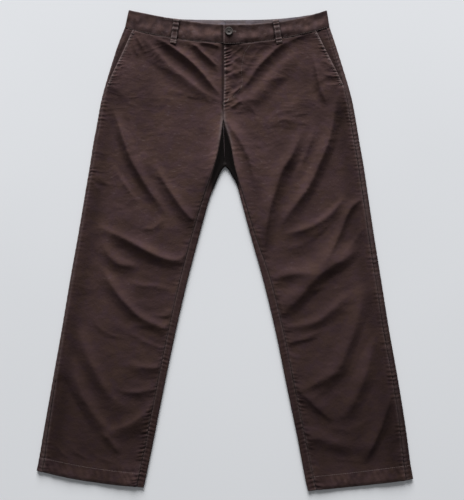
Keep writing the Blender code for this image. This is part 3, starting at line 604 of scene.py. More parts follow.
def ridge(fold, x, y):
    """Height of one fold at x, y: a ridge along its crest that fades out at both ends."""
    points = np.array(fold.crest, dtype=float) * MM
    knots = lengths_along(points)
    crest = hermite(knots, points, np.linspace(0, knots[-1], CREST_STEPS))
    run = np.diff(crest, axis=0)
    from_x = x[..., None] - crest[:-1, 0]
    from_y = y[..., None] - crest[:-1, 1]
    along = (from_x * run[:, 0] + from_y * run[:, 1]) / (run ** 2).sum(axis=1)
    along = np.clip(along, 0, 1)
    away_x = from_x - along * run[:, 0]
    away_y = from_y - along * run[:, 1]
    distance = np.hypot(away_x, away_y)
    nearest = distance.argmin(axis=-1)[..., None]
    across = run[:, 0] * away_y - run[:, 1] * away_x
    distance, across, along = (np.take_along_axis(values, nearest, axis=-1)[..., 0]
                               for values in (distance, across, along))
    uphill = across * np.sign(crest[-1, 0] - crest[0, 0]) > 0
    width = np.where(uphill, fold.uphill, fold.downhill) * MM
    place = (nearest[..., 0] + along) / len(run)
    uneven = 1 + 0.16 * soft_noise(place * 4, np.zeros_like(place), len(fold.name))
    taper = (1 - fade(place, FOLD_ENDS)) * (1 - fade(1 - place, FOLD_ENDS)) * uneven
    sharp = 0.38 * fade(width - 0.011, 0.010)
    swell = mix(bell(distance, width), bell(distance, 0.45 * width), sharp)
    valley = np.where(uphill, 0, VALLEY * bell(distance - 2.1 * width, 0.8 * width))
    return FOLD_GAIN * fold.height * MM * taper * (swell - valley)


# Slack and fine creases between the folds: height, angle on the left and on the right leg, size and
# seed, then whether the crests are sharp, come in patches, and show on the hips alone
Wrinkle = namedtuple(
    "Wrinkle", "height left right long short seed sharp patchy hips", defaults=(False, False, False))
WRINKLES = (
    Wrinkle(0.00190, -34, 34, 0.150, 0.085, 19),
    Wrinkle(0.00100, -34, 34, 0.080, 0.034, 11),
    Wrinkle(0.00070, -44.2, 44.2, 0.040, 0.021, 12, patchy=True),
    Wrinkle(0.00090, -20.4, 20.4, 0.044, 0.024, 15, sharp=True, patchy=True),
    Wrinkle(0.00022, 12, 12, 0.018, 0.0095, 13, patchy=True),
    Wrinkle(0.00022, 40.8, -40.8, 0.020, 0.012, 14, sharp=True, patchy=True),
    Wrinkle(0.00080, 6, -6, 0.028, 0.010, 31, sharp=True, patchy=True, hips=True),
    Wrinkle(0.00036, -3, 3, 0.016, 0.0052, 32, sharp=True, hips=True),
)
PATCHES = Wrinkle(0.9, -34, 34, 0.100, 0.060, 18)
BEND = 0.012


def creased(x, y, degrees, long, short, seed):
    """Sharp-crested streaks, from -0.5 to 0.5."""
    return 0.5 - np.abs(turned_noise(x, y, degrees, long, short, seed)) ** 0.8


def streaks(wrinkle, x, y, side):
    """A row's streaks at x, y, without its height."""
    shape = creased if wrinkle.sharp else turned_noise
    return shape(x, y, getattr(wrinkle, side.name), wrinkle.long, wrinkle.short, wrinkle.seed)


def small_wrinkles(x, y, side):
    """Height of the wrinkles between the folds, mostly across the leg."""
    bent_x = x + BEND * turned_noise(x, y, 0, 0.050, 0.050, 16)
    bent_y = y + BEND * turned_noise(x, y, 0, 0.045, 0.045, 17)
    patchy = 0.45 + PATCHES.height * np.abs(streaks(PATCHES, x, y, side))
    relief = 0
    for wrinkle in WRINKLES:
        height = wrinkle.height * streaks(wrinkle, bent_x, bent_y, side)
        height = height * patchy if wrinkle.patchy else height
        relief = relief + (height * on_hips(y) if wrinkle.hips else height)
    return relief


def on_hips(y):
    """1 on the hips, falling to 0 at mid thigh."""
    return fade(HIPS_LOW - y, HIPS_LOW)


def on_low_leg(y):
    """1 from above the knee downwards, falling to 0 at mid thigh."""
    return fade(y - LOW_LEG_TOP, LOW_LEG_REACH)


# Front panels

# Outer face of a piece: its points, the cloth's own coordinates at them, wear, painted shade, and the
# dye's tone with painted light and shade in it
Shell = namedtuple("Shell", "points grain worn deep faded")

# Points of a front panel, with their distances to its edges and weights for its parts
Place = namedtuple(
    "Place", "side x y down to_edge to_end to_waist to_hem below_pocket at_pocket at_fly at_fork"
    " below_fork")

# Patches of paler and darker dye: share on the legs, share on the hips, width, height and seed
Patch = namedtuple("Patch", "share on_hips wide tall seed")
FRONT_PATCHES = (Patch(0.11, 0.18, 0.045, 0.030, 12), Patch(0.085, 0.12, 0.013, 0.0055, 13))
BACK_PATCHES = (Patch(0.13, 0.13, 0.030, 0.022, 8), Patch(0.12, 0.12, 0.010, 0.0055, 9))
BAND_PATCHES = (Patch(0.26, 0.26, 0.017, 0.010, 6), Patch(0.26, 0.26, 0.007, 0.006, 7))
HEM_PATCHES = (Patch(0.16, 0.16, 0.024, np.inf, 7), Patch(0.15, 0.15, 0.0075, np.inf, 14))


def patches(x, y, patch, seed):
    """Share by which one row of patches makes the dye paler."""
    noise = soft_noise(x / patch.wide, y / patch.tall, seed + patch.seed)
    return mix(patch.share, patch.on_hips, on_hips(y)) * noise


def crowded(cells, crowding):
    """Shares from 0 to 1 that lie closer together at both ends."""
    share = np.linspace(0, 1, cells + 1)
    return share - crowding * np.sin(2 * np.pi * share) / (2 * np.pi)


def front_panel(side):
    """Outer face of the front panel, with its values for the cloth material."""
    row = fine_rows(side)
    edge = front_edge(side, row)[:, None]
    end = front_end(side, row)[:, None]
    share = crowded(FRONT_CELLS, FRONT_CROWDING)
    flat = mix(edge, end, share[None, :, None])
    bow_to_waist(flat, row, side.front_low)
    bow_to_hem(flat, row, side)
    x, y = flat[..., 0], flat[..., 1]
    width = np.linalg.norm(end - edge, axis=-1)
    below_pocket = np.maximum(front_edge(side, row)[index_of(side, "pocket end"), 1] - y, 0)
    at_fly = fade(FLY_BOTTOM - FLY_CLOSE - y, FLY_BLEND)
    at = Place(
        side, x, y, lengths_along(flat), to_edge=width * share, to_end=width * (1 - share),
        to_waist=y[0] - y, to_hem=y - y[-1], below_pocket=below_pocket,
        at_pocket=fade(below_pocket, 0.010), at_fly=at_fly,
        at_fork=fade(np.abs(y - FORK_Y), 0.024) * (1 - at_fly),
        below_fork=row[:, None] >= row_of(side, "fork"))
    points = np.dstack([x, y, front_height(at)])
    return Shell(points, grain(flat, side), front_wear(at), front_painted_shade(at), front_dye_and_shade(at))


def front_height(at):
    """Height of the front panel: its base, folds, creases, wrinkles and seams."""
    free = 1 - at.at_fly * fade(at.to_end - FLY_FLAT, 0.011)
    calm = (1 - fade(at.to_edge, EDGE_CALM)) * (1 - fade(at.to_waist, WAIST_CALM))
    calm = calm * (1 - fade(at.to_hem - 0.3 * HEM_CALM, 0.7 * HEM_CALM))
    calm = calm * (1 - np.where(at.below_fork, fade(at.to_end, EDGE_CALM), 0)) * free
    folds = sum(ridge(fold, at.x, at.y) for fold in at.side.folds)
    creases = sum(ridge(fold, at.x, at.y) for fold in at.side.creases)
    z = front_base(at) + POCKET_LIFT * fade(np.hypot(at.to_edge, at.below_pocket), POCKET_REACH)
    z = z + folds * calm + creases * free * (1 - fade(at.to_edge, 0.004))
    z = z + small_wrinkles(at.x, at.y, at.side) * free + front_seams(at, free)
    if at.side is RIGHT:
        z = z + fly_relief(at)
    z = z + hem_relief(at.to_hem, at.x, at.y, at.side.seeds.front + 6)
    z = z - EDGE_LIP * (fade(np.minimum(at.to_edge, at.to_end), 0.0014) + fade(at.to_waist, 0.0012))
    return held_above(z, FRONT_LOWEST)


def front_base(at):
    """Height of the front panel without its folds, from its distances to its four edges."""
    fly_z = FLY_UNDER_Z if at.side is LEFT else FLY_OVER_Z
    lap = fade(at.to_end - FLY_FLAT, FLY_REACH - FLY_FLAT)
    z = mix(MIDDLE_Z, WAIST_Z, fade(at.to_waist, EDGE_REACH))
    z = mix(z, EDGE_Z, fade(at.to_hem, EDGE_REACH))
    z = mix(z, EDGE_Z, fade(at.to_edge, EDGE_REACH))
    return mix(z, mix(EDGE_Z, fly_z, at.at_fly), mix(fade(at.to_end, EDGE_REACH), lap, at.at_fly))


def front_seams(at, free):
    """Relief of the seams round the front panel, and the drag lines that they pull."""
    side, seed = at.side, at.side.seeds.front
    outer = seam_relief(SIDE_PUCKER, at.to_edge, at.down, seed, side_pull(side, at.y))
    pocket = seam_relief(POCKET_SEAM, at.to_edge, at.down, seed + 1)
    pocket_drag = creased(at.x, at.y, -10 * side.sign, 0.017, 0.011, seed + 9)
    pocket_drag = pocket_drag * bell(at.to_edge - 0.013, 0.011)
    waist = seam_relief(WAIST_SEAM, at.to_waist, at.x, seed + 2)
    inner = seam_relief(INSEAM, at.to_end, at.down, seed + 3, inseam_pull(at.to_hem))
    fork = seam_relief(FORK_SEAM, at.to_end, at.down, seed + 4) * at.at_fork
    drag = creased(at.x, at.y, 4 * side.sign, 0.040, 0.0085, seed + 11) * bell(at.to_end - 0.008, 0.012)
    relief = mix(outer, pocket, at.at_pocket) + 0.0012 * pocket_drag * at.at_pocket + waist * free
    return relief + np.where(at.below_fork, inner + 0.0014 * drag * fade(at.y - 0.08, 0.06), fork)


def fly_relief(at):
    """Puckers of the fly's edge, its curved line of stitches, and the slack shield between them."""
    below_band = 1 - fade(at.to_waist, 0.006)
    drawn_up = mix(1.1, 0.5, fade(at.y - 0.335, 0.050))
    edge = seam_relief(FLY_SEAM, at.to_end, at.down, at.side.seeds.front + 5, drawn_up) * below_band
    line = 0.0003 * bell(j_distance(at.x, at.y) - 0.003, 0.002)
    shield = 0.0022 * creased(at.x, at.y, 40, 0.021, 0.011, 33)
    shield = shield + 0.0014 * turned_noise(at.x, at.y, -25, 0.014, 0.008, 34)
    on_shield = fade(at.x - 0.030, 0.016) * below_band * (1 - fade(at.to_end, 0.002))
    return (edge + line + shield * on_shield) * at.at_fly


def front_wear(at):
    """Worn, lighter edges of the front panel."""
    looks, seed = at.side.looks, at.side.seeds.front
    side_wear = mix(mix(*looks.front_wear, on_low_leg(at.y)), 1.5, at.at_pocket)
    near_fork = bell(at.y - 0.284, 0.050) * (1 - at.at_fly)
    inner_wear = np.where(at.below_fork, 0.45, mix(0.9, looks.fly_wear, at.at_fly))
    worn = (
        wear(at.to_edge - 0.0010 * at.at_pocket, at.down, 0.0032, seed) * side_wear,
        1.30 * bell(at.to_end - 0.0018, 0.0036) * near_fork,
        wear(at.to_end, at.down, 0.0030, seed + 1) * inner_wear,
        looks.fly_wear * bell(at.to_end - 0.0010, 0.0026) * at.at_fly,
        0.5 * wear(at.to_waist, at.x, 0.0020, seed + 2),
        0.6 * wear(at.to_hem, at.x, 0.0022, seed + 3),
    )
    return np.maximum.reduce([np.broadcast_to(one, at.x.shape) for one in worn])


def front_painted_shade(at):
    """Shares of painted shade: a band just above the hem's edge, and a painted shadow beside the fly
    where the right panel laps over.
    """
    deep = 0.55 * bell(at.to_hem - 0.004, 0.0024)
    if at.side is LEFT:
        deep = np.maximum(deep, 0.75 * bell(at.x + 0.0050, 0.0030) * at.at_fly)
    return np.clip(deep, 0, 1)


def front_dye_and_shade(at):
    """Tone of the front panel's dye in patches, lighter beside the pocket, the inseam near the fork and
    the fly, with painted shade beside the side seam, under the waistband, at the right hip and below the
    button.
    """
    looks, seed = at.side.looks, at.side.seeds.front
    # Painted shade beside the side seam below the pocket, and on the right hip
    beside_seam = looks.beside_seam * bell(at.to_edge - 0.022, 0.019) * (1 - at.at_pocket)
    hip_side_shade = looks.hip * bell(at.to_edge - 0.024, 0.026) * bell(at.y - 0.290, 0.060)
    shade = faded(at.x, at.y) * (1 - beside_seam - hip_side_shade)
    # Painted shade under the waistband
    shade = shade * (1 - looks.under_band * bell(at.to_waist - 0.005, 0.015))
    shade = shade * (1 + 0.22 * bell(at.to_edge - 0.006, 0.016) * at.at_pocket)
    inner_edge = bell(at.to_end - 0.006, 0.012) * bell(at.y - 0.230, 0.060) * at.below_fork
    shade = shade * (1 + 0.22 * inner_edge)
    for patch in FRONT_PATCHES:
        shade = shade * (1 + patches(at.x, at.y, patch, seed))
    if at.side is RIGHT:
        # Lighter worn cloth along the fly's edge, then painted shade below the button
        shade = shade * (1 + 0.18 * bell(at.to_end - 0.006, 0.010) * at.at_fly)
        shade = shade * (1 - 0.30 * bell(at.x - 0.024, 0.024) * bell(at.y - 0.456, 0.016))
    on_hem = sum(patches(at.x, at.y, patch, seed) for patch in HEM_PATCHES)
    return shade * (1 + on_hem * fade(at.to_hem - HEM_DEPTH, 0.004))


def faded(x, y):
    """Tone of the cloth: darker towards the hems as painted shade, lighter near the fork, a little
    darker on the right, with painted shade on the left inner thigh.
    """
    knots, amounts = np.array(LEG_SHADING_Y), np.array(LEG_SHADING)[:, None]
    amount = hermite(knots, amounts, np.asarray(y).ravel())[:, 0].reshape(np.shape(y))
    amount = amount * np.where(x > 0, 0.95, 1.0)
    near_fork = bell(np.maximum(np.abs(x) - 0.016, 0), 0.030) * bell(y - 0.255, 0.075)
    # inner_thigh and behind_fork are painted shade on the left leg beside the crotch
    inner_thigh = bell(x + 0.045 + 0.32 * (0.13 - y), 0.030) * bell(y - 0.085, 0.070)
    behind_fork = bell(x + 0.036 + 0.35 * (0.153 - y), 0.011) * bell(y - 0.150, 0.036)
    return amount * (1 + 0.42 * near_fork) * (1 - 0.34 * inner_thigh) * (1 - 0.50 * behind_fork)


def held_above(height, lowest, softness=0.0005):
    """Height that bends smoothly away from a lowest one."""
    over = height - lowest
    return lowest + 0.5 * (over + np.sqrt(over * over + softness * softness))


def hem_relief(to_hem, x, y, seed):
    """Turned-up hem: a step at its stitches, drawn into soft upright puckers."""
    in_hem = fade(to_hem - HEM_DEPTH + 0.002, 0.003)
    stitches = bell(to_hem - HEM_DEPTH, 0.0018)
    drawn = 0.00085 * pucker(x + 0.45 * y, 0.0150, seed)
    drawn = drawn + 0.00075 * pucker(x - 0.6 * y, 0.0290, seed + 1)
    near = bell(to_hem - 0.65 * HEM_DEPTH, 0.60 * HEM_DEPTH)
    return HEM_STEP * in_hem * fade(0.001 - to_hem, 0.0012) - 0.0006 * stitches + drawn * near


def wear(distance, along, width, seed):
    """Worn, lighter cloth along an edge, more on its crests."""
    patchy = 0.62 + 0.38 * soft_noise(along / 0.0055, np.zeros_like(along) + 0.5, 40 + seed)
    return bell(distance, width) * patchy


def grain(flat, side):
    """Cloth coordinates in metres: across the leg and down it, so that the twill follows the leg."""
    across = lengths_along(np.swapaxes(flat, 0, 1)).T
    return np.dstack([across * side.sign, -lengths_along(flat), np.zeros(across.shape)])


def j_line(steps):
    """The curved line of stitches that holds the fly shield."""
    points = np.array(J_STITCH) * MM
    knots = lengths_along(points)
    return hermite(knots, points, np.linspace(0, knots[-1], steps))


def j_distance(x, y):
    line = j_line(40)
    return np.hypot(x[..., None] - line[:, 0], y[..., None] - line[:, 1]).min(axis=-1)


# Back panels

def back_panel(side):
    """Outer face of the back panel: side seam, outer fold, underside, inner fold, inseam."""
    rows = fine_rows(side)
    outer, out = side_fold(side, rows)
    half_gap = np.array([side.sign * HALF_GAP, 0])
    seam = side_seam(side, rows) + half_gap
    centre_back = trace(side.sections, "centre_back", rows) + half_gap
    inseam = inner_seam(side, rows) - half_gap
    over_row, fork_row = row_of(side, "seat over"), row_of(side, "fork")
    under_row = row_of(side, "seat under")
    inner_rows = rows[rows >= over_row]
    inner = trace(side.sections, "inner", inner_rows) + half_gap
    turned = fade((inner_rows - over_row) / CROTCH_TURN_ROWS, 1)[:, None]
    in_out = unit(mix(outward(side, inner, inside=True), np.array([0.0, -1.0]), turned))

    def under_path(index):
        centre = outer[index] - out[index] * ROLL
        path = outer_turn(seam[index], centre, out[index])
        squeezed = ROLL_CELLS + WEB_CELLS
        last = centre_back[index] + np.array([side.sign * SQUEEZE * squeezed, 0])
        path += line(centre, last, UNDER_CELLS, 0) + line(last, centre_back[index], squeezed, 0)
        return np.array(path + [np.append(centre_back[index], 0)])

    def over_path(index):
        centre = outer[index] - out[index] * ROLL
        path = outer_turn(seam[index], centre, out[index])
        fold = index - len(rows) + len(inner)
        last = inner[fold] - in_out[fold] * ROLL
        share = min((rows[index] - over_row) / (fork_row - over_row), 1.0)
        corner = mix(np.array(CROTCH_SEAM_END) + half_gap, np.array(side.web_corner), share)
        end = corner if rows[index] <= fork_row else inseam[index]
        path += line(centre, last, UNDER_CELLS, 0)
        path += [roll(last, in_out[fold], -turn) for turn in np.linspace(1, -1, ROLL_CELLS + 1)]
        path += web_line(last, end, inseam_line)
        return np.array(path)

    inseam_line = inner_seam(side, rows[rows >= fork_row])[::-1]
    first_over = over_path(index_of(side, "seat over"))
    last_under = under_path(index_of(side, "seat under"))
    points = []
    for index, row in enumerate(rows):
        if row <= under_row:
            points.append(under_path(index))
        elif row >= over_row:
            points.append(over_path(index))
        else:
            share = (row - under_row) / (over_row - under_row)
            path = mix(last_under, first_over, share)
            own = under_path(index)[:STRIP_CELLS + ROLL_CELLS + 1]
            path[:len(own)] = own
            points.append(path)
    points = np.array(points)
    bow_to_waist(points, rows, side.back_low)
    bow_to_hem(points, rows, side)
    return back_relief(side, rows, points)


def outer_turn(seam, centre, out):
    """Points on top from the side seam to the outer fold, and round it."""
    path = line(seam, centre, STRIP_CELLS, EDGE_Z)
    return path + [roll(centre, out, turn) for turn in np.linspace(1, -1, ROLL_CELLS + 1)[:-1]]


def roll(centre, out, turn):
    """Point of a rolled fold round a centre line: turn is -1 underneath and 1 on top."""
    angle = turn * np.pi / 2
    return np.append(centre + out * (ROLL * np.cos(angle) + EDGE_OUT), ROLL * (1 + np.sin(angle)))


def line(start, end, cells, z):
    """Points from start on towards end at one height, without the last one."""
    return [np.append(mix(start, end, step / cells), z) for step in range(cells)]


def web_line(start, end, inseam):
    """Points on top from the inner fold to the inseam; the web below the fork sinks in."""
    share = np.linspace(0, 1, WEB_CELLS + 1)[1:, None]
    places = mix(start, end, share)
    to_seam = np.abs(np.interp(places[:, 1], inseam[:, 1], inseam[:, 0]) - places[:, 0])
    to_fold = np.linalg.norm(end - start) * share[:, 0]
    dip = WEB_DIP * (1 - fade(to_seam, WEB_REACH)) * (1 - fade(to_fold, WEB_REACH))
    return [np.append(place, EDGE_Z - drop) for place, drop in zip(places, dip)]


def back_relief(side, rows, points):
    """Seams, puckers and wear on top of the back panel, and troughs in its underside."""
    x, y = points[..., 0], points[..., 1]
    across, down = lengths_along(np.swapaxes(points, 0, 1)).T, lengths_along(points)
    to_end, to_hem = across[:, -1:] - across, y - y[-1]
    below_fork = rows[:, None] >= row_of(side, "fork")
    up = np.clip(points[..., 2] / EDGE_Z, 0, 1)
    on_top = up ** 1.5
    top = back_seams(side, rows, x, y, across, to_end, to_hem, down)
    calm = 1 - bell(np.minimum(across, to_end), 0.022)
    under = under_relief(side, x, y, to_hem) * calm
    points[..., 2] = np.maximum(points[..., 2] + on_top * top + (1 - up) * under, 0)

    seed, looks = side.seeds.back, side.looks
    worn = (
        mix(*looks.strip_wear, on_low_leg(y)) * wear(across - 0.003, down, 0.0045, seed + 2),
        np.where(below_fork, 0.45, 0.1) * wear(to_end, down, 0.0030, seed + 3),
        0.6 * wear(to_hem, x, 0.0022, seed + 4),
    )
    # Painted shade on the web, where the back panel shows between the legs below the fork
    web = (points[..., 2] > ROLL) & (across > to_end) & (rows[:, None] <= row_of(side, "thigh"))
    below_crotch = rows[:, None] - row_of(side, "crotch level")
    in_web = web * (1 - 0.30 * bell(to_end, 0.0012)) * fade(below_crotch, 4)
    # Painted shade on the back's strips: inside, on the left thigh below the fork, and outside, along
    # the right leg
    inner_strip = np.where(below_fork, bell(to_end - 0.012, 0.009), 0) * on_top * fade(-y, 0.30)
    outer_strip = bell(across - 0.008, 0.010) * fade(y - 0.33, 0.05)
    shade = faded(x, y) * (1 - looks.inner_strip * inner_strip) * (1 - looks.outer_strip * outer_strip)
    shade = shade * (1 + sum(patches(x, y, patch, seed) for patch in BACK_PATCHES) * on_top)
    return Shell(points, grain(points[..., :2], side), np.maximum.reduce(worn), in_web, shade)


def back_seams(side, rows, x, y, to_edge, to_end, to_hem, down):
    """Relief on top of the back panel: both seams' puckers and the groove of the crotch seam."""
    fork, crotch = row_of(side, "fork"), row_of(side, "seat over")
    below_fork = rows[:, None] >= fork
    above_fork = (rows[:, None] > crotch) & ~below_fork
    seed = side.seeds.front
    outer = seam_relief(SIDE_PUCKER, to_edge, down[:, :1] + 0 * down, seed, side_pull(side, y))
    inner = seam_relief(INSEAM, to_end, down[:, -1:] + 0 * down, seed + 3, inseam_pull(to_hem))
    drag = turned_noise(x, y, 8 * side.sign, 0.022, 0.0050, side.seeds.back + 7)
    drag = 0.00075 * drag * bell(to_end - 0.006, 0.013) * fade(-y, 0.10)
    top = outer * (to_edge < SEAM_REACH) + np.where(below_fork, inner * (to_end < SEAM_REACH) + drag, 0)
    return top - np.where(above_fork, 0.0005 * bell(to_end, 0.0014), 0)


def under_relief(side, x, y, to_hem):
    """Height of the troughs that are pressed into the underside."""
    seed = side.seeds.back
    folds = sum(ridge(fold, x, y) for fold in side.under_folds)
    slack = 0.00045 * (1 + turned_noise(x, y, 30 * side.sign, 0.080, 0.022, seed))
    slack = slack + 0.00025 * (1 + turned_noise(x, y, 6, 0.030, 0.010, seed + 1))
    under = np.maximum(folds, 0) + slack + 0.0005 * bell(to_hem - HEM_DEPTH, 0.0018)
    return UNDER_HIGHEST - held_above(UNDER_HIGHEST - under, 0, 0.0003)


# Trim

def pocket_facing(side):
    """Pocket facing: from the side seam to under the front panel's slant edge."""
    rows = fine_rows(side)
    row = rows[:index_of(side, "pocket end") + 1]
    outer = side_seam(side, rows)[:len(row)]
    outer[:, 0] -= side.sign * HALF_GAP
    slant = front_edge(side, rows)[:len(row)]
    inner = slant - np.array([side.sign * FACING_UNDER, 0])
    share = np.linspace(0, 1, FACING_CELLS + 1)
    flat = mix(outer[:, None], inner[:, None], share[None, :, None])
    bow_to_waist(flat, row, side.front_low)
    x, y = flat[..., 0], flat[..., 1]
    to_edge = np.linalg.norm(inner - outer, axis=-1)[:, None] * share
    past_slant = slant[:, None, 0] - x
    down = lengths_along(flat)
    under = np.clip(side.sign * past_slant / FACING_UNDER, 0, 1)
    shown = 1 - fade(0.001 - side.sign * past_slant, 0.004)
    seed = side.seeds.front
    slack = 0.0008 * turned_noise(x, y, 62 * side.sign, 0.034, 0.008, seed + 9) - 0.0003
    z = EDGE_Z - FACING_DROP * under + (seam_relief(SIDE_PUCKER, to_edge, down, seed) + slack) * shown
    z = z - 0.0006 * fade(y[0] - y, 0.0016)
    worn = 0.4 * wear(to_edge, down, 0.0030, seed)
    # Painted shade over the facing, darker under the front panel's slant edge
    deep = 0.35 * bell(past_slant, 0.004) + 0.2
    return Shell(np.dstack([x, y, z]), grain(flat, side), worn, deep, 1.12 * faded(x, y))


def band_station(low, high, centre_x, fold_centre, share, height):
    """Points up the waistband at a share of the way from the centre to the side fold."""
    x = [mix(centre_x, point[0], share) for point in fold_centre]
    bottom = np.array([x[0], edge_y(low, x[0]) + HALF_GAP, 0])
    top = np.array([x[1], edge_y(high, x[1]), 0])
    return mix(bottom[None], top[None], height[:, None])


def waistband(side):
    """Half waistband: centre front, side fold, centre back; rows along it, columns up it."""
    front_x = BAND_UNDERLAP_X if side is LEFT else BAND_LAP_X
    edges = (side.front_low, side.front_high)
    fold = [np.array([side.sign * edge.side_x, edge.side_y]) for edge in edges]
    along = unit(fold[1] - fold[0])
    out = np.array([along[1], -along[0]]) * side.sign
    height = crowded(BAND_HEIGHT_CELLS, 0.5)
    centre = [point - out * BAND_ROLL for point in fold]
    points, facing_up = [], []
    for share in np.linspace(0, 1, BAND_FRONT_CELLS + 1)[:-1]:
        station = band_station(*edges, front_x, centre, share, height)
        if side is RIGHT:
            station[:, 2] += LAP_LIFT * fade(station[:, 0] - LAP_FLAT_X, LAP_REACH)
        station[:, 2] += BAND_Z
        points.append(station)
        facing_up.append(1.0)
    for turn in np.linspace(1, -1, BAND_ROLL_CELLS + 1)[:-1]:
        angle = turn * np.pi / 2
        station = band_station(*edges, front_x, centre, 1, height)
        station[:, :2] += out * BAND_ROLL * np.cos(angle)
        station[:, 2] = BAND_ROLL * (1 + np.sin(angle))
        points.append(station)
        facing_up.append(np.sin(angle))
    back_x = side.sign * HALF_GAP
    for share in np.linspace(1, 0, BAND_BACK_CELLS + 1):
        points.append(band_station(side.back_low, side.back_high, back_x, centre, share, height))
        facing_up.append(-1.0)
    return band_relief(side, np.array(points), np.array(facing_up)[:, None], height)


def band_relief(side, points, facing_up, height):
    """Thick folded edges, slack and puckers of the waistband, and its worn edges."""
    x, y = points[..., 0], points[..., 1]
    tall = np.linalg.norm(points[:, -1] - points[:, 0], axis=-1)[:, None]
    to_low, to_high = tall * height, tall * (1 - height)
    along = lengths_along(points)
    seed = side.seeds.band
    in_front = facing_up > 0.9
    top, under, edge = band_heights(side, x, y, to_low, to_high, along, height, in_front)
    shift = np.where(facing_up > 0, facing_up * top, -facing_up * (under + edge))
    points[..., 2] = np.maximum(points[..., 2] + shift, 0)
    worn = [0.75 * wear(to_high, along, 0.0022, seed), 0.25 * wear(to_low, along, 0.0016, seed + 1)]
    # Painted shadow beside the belt loops, and painted shade along the waistband's lower edge
    beside = np.abs(to_loop(side, x, y)) - 0.5 * LOOP_WIDTH
    shaded = np.where(in_front, bell(np.maximum(beside, 0), 0.0024), 0)
    deep = np.maximum(0.42 * bell(to_low - 0.0028, 0.0018), 0.75 * shaded)
    if side is RIGHT:
        worn.append(0.8 * wear(along, to_low, 0.0024, seed + 2))
    else:
        # Painted shadow beside the lapped end at the centre front
        deep = np.maximum(deep, np.where(in_front, 0.75 * bell(x + 0.0065, 0.0032), 0))
    cloth = np.dstack([along * side.sign, to_low + 0 * x, 0 * x])
    # Painted light and shade on the waistband's front
    tone = np.where(in_front, band_light_and_mottle(x, y, height, seed), 1.0)
    return Shell(points, cloth, np.maximum.reduce(worn), deep, faded(x, y) * tone)


def band_heights(side, x, y, to_low, to_high, along, height, in_front):
    """Relief of the waistband's front and of its underside, and how far its edges turn away."""
    seed = side.seeds.band
    body = hermite(np.array(BAND_HEIGHTS), np.array(BAND_SWELL)[:, None], height)[:, 0][None]
    body = body * (0.8 + 0.5 * soft_noise(x / 0.045, x * 0, seed + 4))
    body = body + 0.00130 * turned_noise(x, y, 12 * side.sign, 0.026, 0.013, seed)
    body = body + 0.00100 * turned_noise(x, y, 70, 0.016, 0.008, seed + 1)
    body = body + seam_relief(WAIST_SEAM, to_low, x, side.seeds.front + 2) * 0.9
    body = body + 0.00025 * pucker(along, 0.0090, seed + 2) * bell(to_high, 0.007)
    if side is LEFT:
        body = np.where((x > -0.014) & in_front, body * fade(x + 0.014, 0.010), body)
    else:
        body = np.where(x < 0.030, np.maximum(body, 0) * 0.6, body)
    edge = 0.0007 * (fade(to_low, 0.0013) + fade(to_high, 0.0015))
    front_end = 0.0006 * fade(along, 0.0014) if side is RIGHT else 0
    under = np.maximum(-body, 0) * 0.8 + 0.0005 * bell(to_low - BAND_STITCH, 0.0014)
    return body - edge - front_end, under, edge


def band_light_and_mottle(x, y, height, seed):
    """Tone of the waistband's front: a painted highlight halfway up, painted shade at its edges, on top
    at its left end and beside the button, in random patches.
    """
    darker_top = 0.17 * (1 - fade(-x - 0.100, 0.030))
    tone_height = np.clip(height[None] + darker_top, 0, 1)
    tone = hermite(np.array(BAND_HEIGHTS), np.array(BAND_PAINTED_LIGHT)[:, None], tone_height.ravel())
    tone = 1.05 * tone[:, 0].reshape(x.shape) * (1 - 0.38 * bell(x - 0.012, 0.015))
    for patch in BAND_PATCHES:
        tone = tone * (1 + patches(x, y, patch, seed))
    return tone


def to_loop(side, x, y):
    """Distance across from the belt loop's middle line."""
    top, _, down, _ = loop_line(side)
    return (x - top[0]) * down[1] - (y - top[1]) * down[0]


def belt_loop(side, ground):
    """Belt loop: a narrow strip over the waistband, bunched into cross ridges."""
    across_cells, along_cells = LOOP_CELLS
    top, bottom, _, across = loop_line(side)
    share = np.linspace(0, 1, along_cells + 1)
    offset = np.linspace(-0.5, 0.5, across_cells + 1)
    middle = mix(top, bottom, share[:, None])
    width = LOOP_WIDTH * (1 + 0.05 * np.sin(2 * np.pi * share * LOOP_RIDGES + side.sign))
    flat = middle[:, None] + across * (offset[None, :, None] * width[:, None, None])
    seat = loop_seat(flat, ground)[:, None]
    length = (share * np.linalg.norm(bottom - top))[:, None]
    to_ends = (length, length[::-1])
    slack = 0.0011 * np.sin(np.pi * np.clip(share * 1.15, 0, 1)) ** 0.8
    turn = share * LOOP_RIDGES + 0.60 * soft_noise(share * 4, share * 0, 90 + side.sign)
    ridges = LOOP_RIDGE * np.sin(2 * np.pi * turn + side.sign) * np.sin(np.pi * share) ** 0.3
    out = np.abs(offset)[None]
    z = seat + GAP + LOOP_WALL + (slack + ridges)[:, None]
    z = z - 0.0007 * (2 * out) ** 6 + 0.00030 * bell(out - 0.40, 0.10)
    z = z - 0.0006 * sum(fade(to_end, 0.0016) for to_end in to_ends)
    crest = np.clip(ridges / LOOP_RIDGE, 0, 1)[:, None]
    to_edge = (0.5 - out) * LOOP_WIDTH
    worn = np.maximum((0.35 + 0.55 * crest) * bell(to_edge - 0.001, 0.0018), 0.60 * crest)
    worn = np.maximum(worn, 0.9 * fade(length, 0.006))
    # Painted shade in the troughs between the loop's ridges
    deep = 0.75 * np.clip(-1.2 * ridges / LOOP_RIDGE, 0, 1)[:, None] ** 1.5
    cloth = np.dstack([offset[None] * LOOP_WIDTH * side.sign + 0 * z, length + 0 * z, 0 * z])
    return Shell(np.dstack([flat, z]), cloth, worn, deep, 1.0)


def loop_line(side):
    """Top and bottom of the belt loop's middle line, and the directions down it and across it."""
    top, bottom = np.array(side.loop_top), np.array(side.loop_bottom)
    down = unit(bottom - top)
    return top, bottom, down, np.array([-down[1], down[0]])


